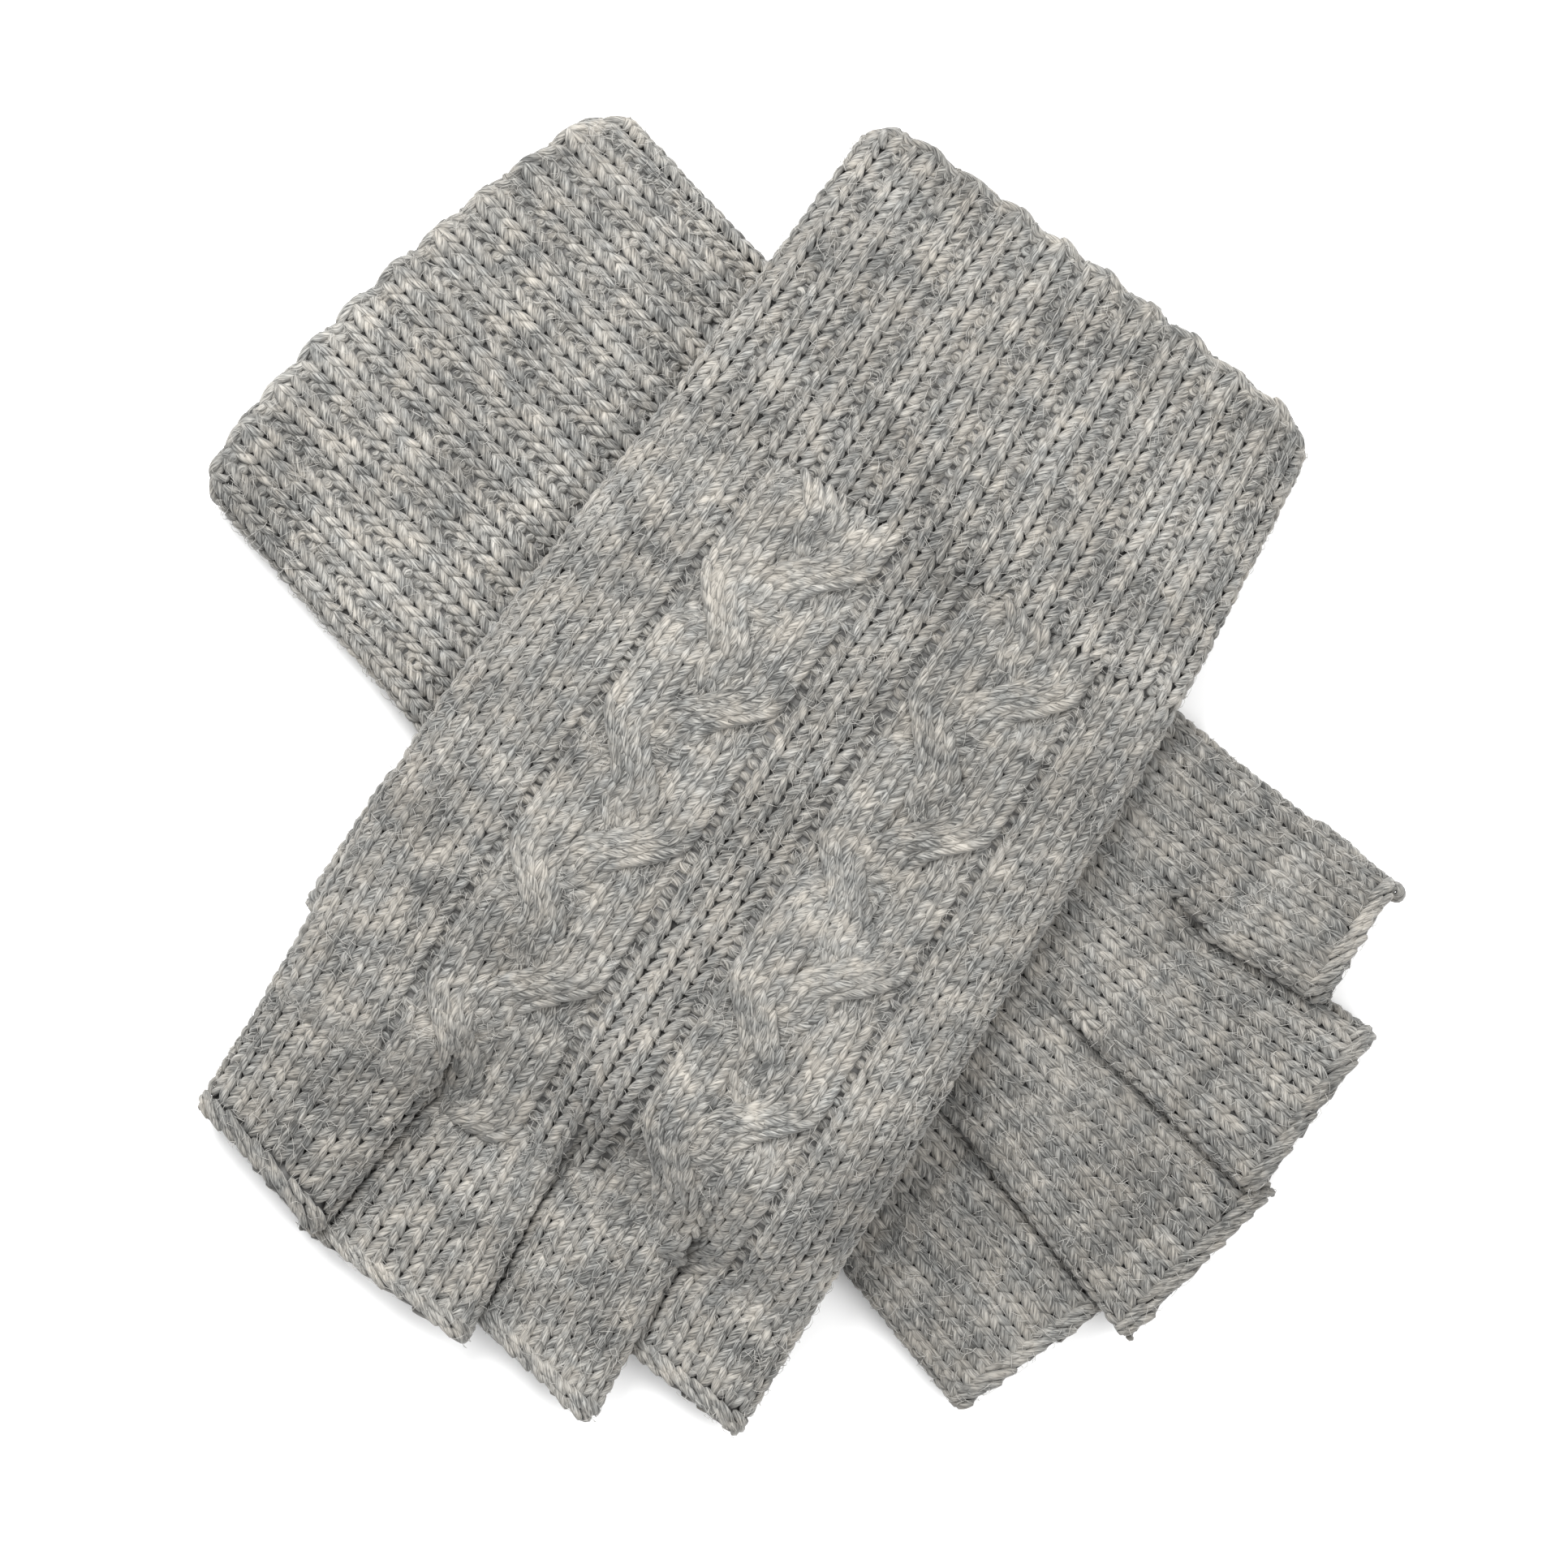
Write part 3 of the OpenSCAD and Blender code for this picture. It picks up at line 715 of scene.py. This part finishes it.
def hem_s(w):
    """s of the scalloped open end of the cuff: it reaches out at each rib."""
    return HEM_DEEP - HEM_WAVE * np.cos((np.mod(w, RIB_WALES) - 1.0) / RIB_WALES * 2 * math.pi)


def knit_cuff(g, tube):
    """The ribbed cuff: the ribs on its upper face, those on its lower one, and its hem."""
    made = []
    knit = Knit(tube, CUFF_FIRST_S, COURSE)
    courses = int((CUFF_LENGTH - CUFF_FIRST_S) / COURSE)

    def ribbed(ww, kk):
        return ww, rib_rise(ww, knit.first_s + kk * knit.course)
    for name, first, last in (("upper", 0, RIBS // 2), ("lower", RIBS // 2, RIBS)):
        yarn = Yarn()
        for inside in (0.5, 1.5):
            w, k = grid(np.arange(first, last) * RIB_WALES + inside, np.arange(courses) + 0.5)
            knit.knit(yarn, rib_map, w, k, UP, bend=ribbed, stray=0.0, flat=0.82)
        w, k = grid(np.arange(first, last) * RIB_WALES + 2.5, np.arange(courses) + 0.4)
        fade = ease((k * COURSE - CUFF_LENGTH + RIB_FADE) / RIB_FADE)
        knit.purl(yarn, rib_map, w, k, UP, (-0.5 + 0.3 * fade)[:, None], 0.5)
        made.append(yarn.build(f"{SIDES[g]}_cuff_{name}_ribs"))
    hem = Yarn()
    knit.bound_edge(hem, rib_map, np.arange(RIB_WALES * RIBS) + 0.5,
                    ((hem_s, -0.25, 0.2, 0.1, 0.92),
                     (lambda w: hem_s(w) + HEM_ROW, -0.5, 0.2, 0.1, 0.9)))
    made.append(hem.build(f"{SIDES[g]}_cuff_hem"))
    return made


def knit_hand(g, tube):
    """The hand: plain and purl wales on the back, two plait cables, and the plain palm."""
    side = SIDES[g]
    face = BACK_FACE[g]
    knit = Knit(tube, CUFF_LENGTH, COURSE)
    courses = int((FINGER_FOOT[g] - CUFF_LENGTH) / COURSE) + 1
    rows = np.arange(courses) + 0.5
    across_back = back_map(tube)
    made = []
    yarn = Yarn()
    for panel, wales in enumerate(PANEL_WALES):
        start = PANEL_START[panel]
        if panel in GUTTERS:
            w, k = grid(np.array([start + 0.5]), rows)
            knit.purl(yarn, across_back, w, k, face, -0.7, 0.8)
        elif panel not in CABLES.values():
            w, k = grid(start + 0.5 + np.arange(wales), rows)
            knit.knit(yarn, across_back, w, k, face)
    made.append(yarn.build(f"{side}_back_stitches"))
    for which in CABLES:
        yarn = Yarn()
        knit_cable(knit, yarn, across_back, which, courses, face)
        made.append(yarn.build(f"{side}_{which}_plait"))
    for name, (first, last) in (("index", (0, PALM_WALES // 2)),
                                ("little", (PALM_WALES // 2, PALM_WALES))):
        yarn = Yarn()
        w, k = grid(np.arange(first, last) + 0.5, rows)
        knit.knit(yarn, even_map(PALM_WALES), w, k, -face)
        made.append(yarn.build(f"{side}_palm_{name}_stitches"))
    return made


CURL_TURNS = 9  # short lengths of yarn in the curl
CURL_RADIUS = 0.9
CURL_PLACE = (0.3, -0.5)  # its middle, from the rim's corner, along s and t


def knit_curl(knit, yarn, tube):
    """The bound-off end that curls into a small knob at the outer corner of a rim."""
    index = np.arange(CURL_TURNS)
    roll = index / CURL_TURNS * 2 * math.pi
    angle = roll[:, None] + 1.4 * (2 * V - 1)
    s = tube.tips[1] + CURL_PLACE[0] + CURL_RADIUS * np.cos(angle) + 0.2 * np.cos(2 * roll)[:, None]
    t = tube.edges(np.array(tube.span[1]))[1] + CURL_PLACE[1] + CURL_RADIUS * np.sin(angle)
    h = CURL_RADIUS * np.sin(2.4 * roll)[:, None]
    spot = place(tube.g, s, t, h)
    normal = np.broadcast_to([0.0, 0.0, 1.0], spot.shape)
    bake = np.stack([t, s], axis=-1)
    yarn.add(spot, normal, 0.9 * LEG_RADIUS, 0.95, bake, knit.marl.tone(index, index))


RIM_LENGTH = 2.2  # the part of a tube that its rim covers
# The rows of a rim: how far each lies from the tube's end, and its rise.
RIM_ROWS = ((2.5, 0.15), (1.75, 0.1), (1.0, -0.15))
RIM_LEAN, RIM_UNEVEN, RIM_SIZE = 0.55, 0.18, 0.84


def knit_tube(g, tube):
    """A plain finger or thumb tube, and its bound-off rim."""
    knit = Knit(tube, tube.span[0], COURSE)
    around = 2 * max(4, round(tube.section.length / WALE))
    courses = int((tube.span[1] - tube.span[0] - RIM_LENGTH) / COURSE)

    def eta_of(s, w):
        return 4 * w / around - 1
    yarn = Yarn()
    w, k = grid(np.arange(around) + 0.5, np.arange(courses) + 0.5)
    knit.knit(yarn, eta_of, w, k, UP)
    rim = Yarn()
    rows = [(lambda w, back=back: tube.span[1] - back, rise, RIM_LEAN, RIM_UNEVEN, RIM_SIZE)
            for back, rise in RIM_ROWS]
    knit.bound_edge(rim, eta_of, np.arange(around) + 0.5, rows)
    if (g, tube.name) == (RIGHT, "little"):
        knit_curl(knit, rim, tube)
    return [yarn.build(f"{SIDES[g]}_{tube.name}_stitches"),
            rim.build(f"{SIDES[g]}_{tube.name}_rim_stitches")]


# ---- fuzz ----------------------------------------------------------------------------------
FUZZ_PER_MM2 = 0.44
FUZZ_RINGS, FUZZ_AROUND = 4, 3
FUZZ_THICKNESS = 0.055
FUZZ_LENGTHS = (1.6, 4.2)
FUZZ_TOPS = (0.2, 1.0)  # how high the fibres arch
FUZZ_SPREAD = 0.9  # of their leanings and bends, in radians
FUZZ_OVERHANG = 0.6  # how far they reach past the ends of a tube
V_FUZZ = np.linspace(0, 1, FUZZ_RINGS)


def tube_fuzz(g, tube, span):
    """Fine wool fibres that lie loosely over the stitches."""
    count = int(2 * tube.section.length * (span[1] - span[0]) * FUZZ_PER_MM2)
    step = rng.uniform(*FUZZ_LENGTHS, (count, 1)) / FUZZ_RINGS
    lean = rng.normal(0, FUZZ_SPREAD, (count, 1)) + rng.choice([0, math.pi], (count, 1))
    lean = lean + rng.normal(0, FUZZ_SPREAD, (count, 1)) * V_FUZZ
    s = rng.uniform(*span, (count, 1)) + np.cumsum(step * np.cos(lean), axis=1)
    s = np.clip(s, span[0] - FUZZ_OVERHANG, span[1] + FUZZ_OVERHANG)
    across = np.cumsum(step * np.sin(lean), axis=1)
    eta = rng.uniform(-1, 3, (count, 1)) + 2 / tube.section.length * across
    top = rng.uniform(*FUZZ_TOPS, (count, 1))
    out = CREST - 0.3 + top * np.sin(math.pi * (0.15 + 0.85 * V_FUZZ)) ** 0.7 + 0.25 * V_FUZZ
    spot, normal = tube.point(s, eta, UP, out)
    radius = np.broadcast_to(FUZZ_THICKNESS * (1 - 0.6 * V_FUZZ), s.shape)
    ring = rings_round(spot, normal, radius, 1.0, FUZZ_AROUND)[0]
    last = (FUZZ_RINGS - 1) * FUZZ_AROUND
    caps = np.array([[2, 1, 0], [last, last + 1, last + 2]])
    start = (np.arange(count) * FUZZ_RINGS * FUZZ_AROUND)[:, None, None]
    quads = wall_quads(FUZZ_RINGS, FUZZ_AROUND)[None] + start
    mesh = mesh_from(f"{SIDES[g]}_{tube.name}_fuzz", ring.reshape(-1, 3) * MM,
                     quads.reshape(-1, 4), (caps[None] + start).reshape(-1, 3))
    return link(mesh.name, mesh)


# ---- the fabric behind the stitches --------------------------------------------------------
FABRIC_OUTER, FABRIC_INNER = 0.75, 2.1  # depths of the fabric's two skins
FABRIC_STEP = 1.5  # length of its faces along the tube
FABRIC_PER_MM = 1.6  # how many faces go round it


def tube_fabric(tube, span, name):
    """The closed wall of a knitted tube, behind its stitches."""
    turns = max(48, int(tube.section.length * FABRIC_PER_MM) // 2 * 2)
    rows = max(8, int((span[1] - span[0]) / FABRIC_STEP))
    s = np.linspace(span[0], span[1], rows)[:, None]
    eta = (np.arange(turns) / turns * 4 - 1)[None, :]
    skins = [tube.point(s, eta, UP, 0.0, inset)[0] for inset in (FABRIC_OUTER, FABRIC_INNER)]
    count = rows * turns  # points of one skin
    wall = wall_quads(rows, turns)
    j = np.arange(turns)
    after = (j + 1) % turns
    first = np.stack([after, j, j + count, after + count], axis=-1)
    last = (rows - 1) * turns + np.stack([j, after, after + count, j + count], axis=-1)
    quads = np.concatenate([wall, wall[:, ::-1] + count, first, last])
    return link(name, mesh_from(name, np.stack(skins).reshape(-1, 3) * MM, quads))


# ---- materials -----------------------------------------------------------------------------
def node(tree, kind, **inputs):
    """A shader node, with the constants of its sockets."""
    made = tree.nodes.new(kind)
    for key, value in inputs.items():
        made.inputs[key.replace("_", " ")].default_value = value
    return made


def noise(tree, vector, **inputs):
    made = node(tree, "ShaderNodeTexNoise", **inputs)
    tree.links.new(vector, made.inputs["Vector"])
    return made.outputs["Fac"]


def scaled(tree, value, factor, plus):
    """value * factor + plus, where plus is a number or a socket."""
    made = tree.nodes.new("ShaderNodeMath")
    made.operation = "MULTIPLY_ADD"
    tree.links.new(value, made.inputs[0])
    made.inputs[1].default_value = factor
    if isinstance(plus, float):
        made.inputs[2].default_value = plus
    else:
        tree.links.new(plus, made.inputs[2])
    return made.outputs[0]


def ramp(tree, value, *stops):
    """A colour ramp through two stops, each a position and a colour."""
    made = tree.nodes.new("ShaderNodeValToRGB")
    for element, (position, colour) in zip(made.color_ramp.elements, stops):
        element.position = position
        element.color = (*colour, 1)
    tree.links.new(value, made.inputs["Fac"])
    return made.outputs["Color"]


def times(tree, a, b):
    """The product of two colours."""
    made = tree.nodes.new("ShaderNodeMix")
    made.data_type = "RGBA"
    made.blend_type = "MULTIPLY"
    made.inputs["Factor"].default_value = 1.0
    tree.links.new(a, made.inputs["A"])
    tree.links.new(b, made.inputs["B"])
    return made.outputs["Result"]


def bump(tree, height, strength, distance, invert=False):
    made = node(tree, "ShaderNodeBump", Strength=strength, Distance=distance)
    made.invert = invert
    tree.links.new(height, made.inputs["Height"])
    return made.outputs["Normal"]


def attribute(tree, name):
    made = tree.nodes.new("ShaderNodeAttribute")
    made.attribute_name = name
    return made.outputs["Fac"]


def start_material(name, **inputs):
    """A new material, its node tree, its shader and its object coordinates."""
    material = bpy.data.materials.new(name)
    material.use_nodes = True
    tree = material.node_tree
    shader = tree.nodes["Principled BSDF"]
    for key, value in inputs.items():
        shader.inputs[key.replace("_", " ")].default_value = value
    coordinates = tree.nodes.new("ShaderNodeTexCoord").outputs["Object"]
    return material, tree, shader, coordinates


FIBRE_STRETCH = (0.5, 3.4, 1)  # of the fibres along and across the yarn
FIBRE_SHARE, CLOUD_SHARE, PATCH_SHARE = 0.62, 0.24, 0.14
COOL, WARM = (0.95, 0.98, 1.0), (1.0, 0.97, 0.925)
GAP_SHADE = 0.77  # painted shade: darkening of the yarn's underside and ends, where the gaps between stitches are shaded
MARL_CONTRAST = 0.2


def wool(name, light, dark):
    """Marl wool: light and dark fibres along the yarn, in clouds, with fuzz at grazing angles, and
    painted shade on the yarn's underside and ends.
    """
    material, tree, shader, coordinates = start_material(
        name, Roughness=0.92, Specular_IOR_Level=0.18, Sheen_Weight=0.25, Sheen_Roughness=0.5,
        Sheen_Tint=(0.9, 0.89, 0.86, 1))
    uv = tree.nodes.new("ShaderNodeUVMap")
    uv.uv_map = "yarn"
    stretch = node(tree, "ShaderNodeMapping", Scale=FIBRE_STRETCH)
    tree.links.new(uv.outputs["UV"], stretch.inputs["Vector"])
    fibres = noise(tree, stretch.outputs["Vector"], Scale=1.0, Detail=2.0, Roughness=0.6)
    clouds = noise(tree, coordinates, Scale=210.0, Detail=3.0, Roughness=0.6)
    patches = noise(tree, coordinates, Scale=60.0, Detail=2.0)
    mottle = scaled(tree, patches, PATCH_SHARE, 0.0)
    mottle = scaled(tree, clouds, CLOUD_SHARE, mottle)
    mottle = scaled(tree, fibres, FIBRE_SHARE, mottle)
    colour = times(tree, ramp(tree, mottle, (0.4, dark), (0.6, light)),
                   ramp(tree, clouds, (0.35, COOL), (0.65, WARM)))
    # painted shade: the colour is dimmed towards the yarn's underside and ends
    painted_gap_shade = node(tree, "ShaderNodeMapRange", From_Min=0.1, From_Max=0.8, To_Min=GAP_SHADE, To_Max=1.0)
    tree.links.new(attribute(tree, "depth"), painted_gap_shade.inputs["Value"])
    marl = scaled(tree, attribute(tree, "tone"), MARL_CONTRAST, 1.0)
    colour = times(tree, colour, times(tree, marl, painted_gap_shade.outputs["Result"]))
    tree.links.new(colour, shader.inputs["Base Color"])
    tree.links.new(bump(tree, fibres, 0.6, 0.0003), shader.inputs["Normal"])
    return material


def backing(name):
    """The reverse of the knit: rows of small loops, seen only in the openings and gaps, with painted
    shade between the loops.
    """
    material, tree, shader, coordinates = start_material(
        name, Roughness=0.95, Specular_IOR_Level=0.1)
    loops = node(tree, "ShaderNodeTexVoronoi", Scale=420.0)
    tree.links.new(coordinates, loops.inputs["Vector"])
    distance = loops.outputs["Distance"]
    # darker away from each loop's middle: painted shade between the loops
    colour = ramp(tree, distance, (0.0, (0.19, 0.187, 0.18)), (0.7, (0.07, 0.069, 0.067)))
    tree.links.new(colour, shader.inputs["Base Color"])
    tree.links.new(bump(tree, distance, 0.7, 0.0006, invert=True), shader.inputs["Normal"])
    return material


LIGHT_FIBRE = np.array([0.285, 0.276, 0.258])
DARK_FIBRE = np.array([0.044, 0.043, 0.041])
# Lighter and darker copies of one marl wool for the parts of each glove: painted light and shade;
# the right glove's knit is darker as painted shadow of the left glove over it.
LIT_AND_SHADED_PARTS = {LEFT: {"knit": 1.01, "rib": 1.01, "cable": 1.04},
          RIGHT: {"knit": 0.86, "rib": 1.13, "cable": 0.92}}


def materials_of(g):
    # each part's fibres are scaled by its painted light or shade
    made = {part: wool(f"{SIDES[g]}_marl_{part}", shade * LIGHT_FIBRE, shade * DARK_FIBRE)
            for part, shade in LIT_AND_SHADED_PARTS[g].items()}
    made["backing"] = backing(f"{SIDES[g]}_wool_reverse")
    made["fuzz"] = plain(f"{SIDES[g]}_wool_fuzz", (0.34, 0.33, 0.31), 0.8)
    return made


def plain(name, colour, roughness):
    material = bpy.data.materials.new(name)
    material.use_nodes = True
    shader = material.node_tree.nodes["Principled BSDF"]
    shader.inputs["Base Color"].default_value = (*colour, 1)
    shader.inputs["Roughness"].default_value = roughness
    return material


def paint(obj, material):
    obj.data.materials.append(material)


# ---- putting the gloves together -----------------------------------------------------------
CUFF_BEND = 6.0  # how far each side of the wrist the fold's end points lie
FINGER_BEND = (1.0, 7.0)  # how far before a tube's foot and past it


def bend_cuff(obj):
    """The left cuff folds up at the wrist: this works out points each side of the fold, and only
    bakes the piece's place into its mesh.
    """
    start = place(LEFT, np.array(CUFF_LENGTH + CUFF_BEND), 0.0, 0.0) * MM
    end = place(LEFT, np.array(CUFF_LENGTH - CUFF_BEND), 0.0, 0.0) * MM
    end[2] = start[2]
    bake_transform(obj)


def bend_finger(obj, g, f):
    """A finger tube folds up at its foot: this works out points before and past the foot, and only
    bakes the piece's place into its mesh.
    """
    middle = sum(border[0] for border in BORDERS[g][f:f + 2]) / 2
    start = place(g, np.array(FINGER_FOOT[g] - FINGER_BEND[0]), middle, 0.0) * MM
    end = place(g, np.array(FINGER_FOOT[g] + FINGER_BEND[1]), middle, 0.0) * MM
    end[2] = start[2]
    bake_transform(obj)


def attach(obj, g, part):
    """Rides on the right body; finger tubes' pieces, save their rims, and the left cuff's and
    hand's, save the hem, only get their place baked in.
    """
    if part in FINGERS and "rim" in obj.name:
        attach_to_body(obj, f"{SIDES[g]}_{part}_finger")
    elif part in FINGERS:
        bend_finger(obj, g, FINGERS.index(part))
    elif obj.name == "left_cuff_hem":
        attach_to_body(obj, "left_cuff")
    elif g == LEFT and part in ("cuff", "hand"):
        bend_cuff(obj)
    else:
        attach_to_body(obj, f"{SIDES[g]}_glove")


def replaced_nodes(g, part):
    """The CAD nodes that a tube's fabric stands in for."""
    if part not in ("cuff", "hand"):
        return [f"{SIDES[g]}_{part}_tube"]
    walls = [f"{SIDES[g]}_{part}_{wall}" for wall in ("back", "palm", "index_side", "little_side")]
    return walls + [f"{SIDES[g]}_finger_crotches"] if part == "hand" else walls


def dress_stitches(obj, g, part, materials):
    """Gives a piece of knitting its wool, and hides the CAD node that it replaces."""
    if "plait" in obj.name:
        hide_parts(obj.name.replace("plait", "cable"))
        paint(obj, materials["cable"])
    elif "rim" in obj.name:
        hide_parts(f"{SIDES[g]}_{part}_rim")
        paint(obj, materials["knit"])
    elif "hem" in obj.name:
        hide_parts(f"{SIDES[g]}_cuff_edge")
        paint(obj, materials["rib"])
    elif part == "cuff":
        paint(obj, materials["rib"])
    else:
        paint(obj, materials["knit"])


CUFF_WALL_START = 0.6  # s where the cuff's fabric starts, inside its hem
TUBE_WALL_END = 0.5  # how far a tube's fabric stops before its end


def make_glove(g, materials):
    """Each part of a glove, as its fabric, its other pieces, its tube and the span knitted."""
    made = {}
    for part, tube in tubes_of(g).items():
        span = tube.span
        if part == "cuff":
            span = (CUFF_WALL_START, CUFF_LENGTH)
            pieces = knit_cuff(g, tube)
        elif part == "hand":
            pieces = knit_hand(g, tube)
        else:
            span = (tube.span[0], tube.span[1] - TUBE_WALL_END)
            pieces = knit_tube(g, tube)
        fabric = tube_fabric(tube, span, f"{SIDES[g]}_{part}_fabric")
        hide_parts(*replaced_nodes(g, part))
        paint(fabric, materials["backing"])
        for obj in pieces:
            dress_stitches(obj, g, part, materials)
        fuzz = tube_fuzz(g, tube, span)
        paint(fuzz, materials["fuzz"])
        pieces.append(fuzz)
        made[part] = (fabric, pieces, tube, span)
        for obj in (fabric, *pieces):
            attach(obj, g, part)
    return made


FLOOR_HALF = 3.0


def make_floor():
    corners = [[x * FLOOR_HALF, y * FLOOR_HALF, 0] for x, y in ((-1, -1), (1, -1), (1, 1), (-1, 1))]
    floor = link("floor", mesh_from("floor", np.array(corners), np.array([[0, 1, 2, 3]])))
    floor.data.materials.append(plain("floor_white", (0.93, 0.93, 0.93), 0.8))


def make_light(name, place_at, size, power):
    """A round lamp that shines at the middle of the gloves."""
    data = bpy.data.lights.new(name, "AREA")
    data.shape = "DISK"
    data.size = size
    data.energy = power
    obj = bpy.data.objects.new(name, data)
    obj.location = place_at
    obj.rotation_mode = "QUATERNION"
    obj.rotation_quaternion = mathutils.Vector(place_at).to_track_quat("Z", "Y")
    bpy.context.scene.collection.objects.link(obj)


# ---- camera and stage, in metres -----------------------------------------------------------
FRAME_WIDTH = 0.2415  # what the camera sees at the gloves' height
LENS, SENSOR = 450.0, 36.0
CAMERA_CENTRE = (-0.0019, -0.0022)
CAMERA_FOCUS_HEIGHT = 0.012
CLIP = (0.01, 20)


def make_camera():
    """Straight from above, from far enough away to look almost without perspective."""
    data = bpy.data.cameras.new("camera")
    data.lens = LENS
    data.sensor_width = SENSOR
    data.clip_start, data.clip_end = CLIP
    obj = bpy.data.objects.new("camera", data)
    obj.location = (*CAMERA_CENTRE, CAMERA_FOCUS_HEIGHT + FRAME_WIDTH * LENS / SENSOR)
    bpy.context.scene.collection.objects.link(obj)
    bpy.context.scene.camera = obj


def make_world():
    world = bpy.data.worlds.new("studio")
    world.use_nodes = True
    back = world.node_tree.nodes["Background"]
    back.inputs["Color"].default_value = (1, 1, 1, 1)
    back.inputs["Strength"].default_value = 1.0
    bpy.context.scene.world = world
    bpy.context.scene.view_settings.view_transform = "Standard"


make_camera()
make_world()
make_floor()
make_light("key", (-0.28, 0.7, 0.85), 0.8, 21)
make_light("fill", (0.8, -0.3, 1.1), 1.2, 14)
for g in (RIGHT, LEFT):
    for part, made in make_glove(g, materials_of(g)).items():
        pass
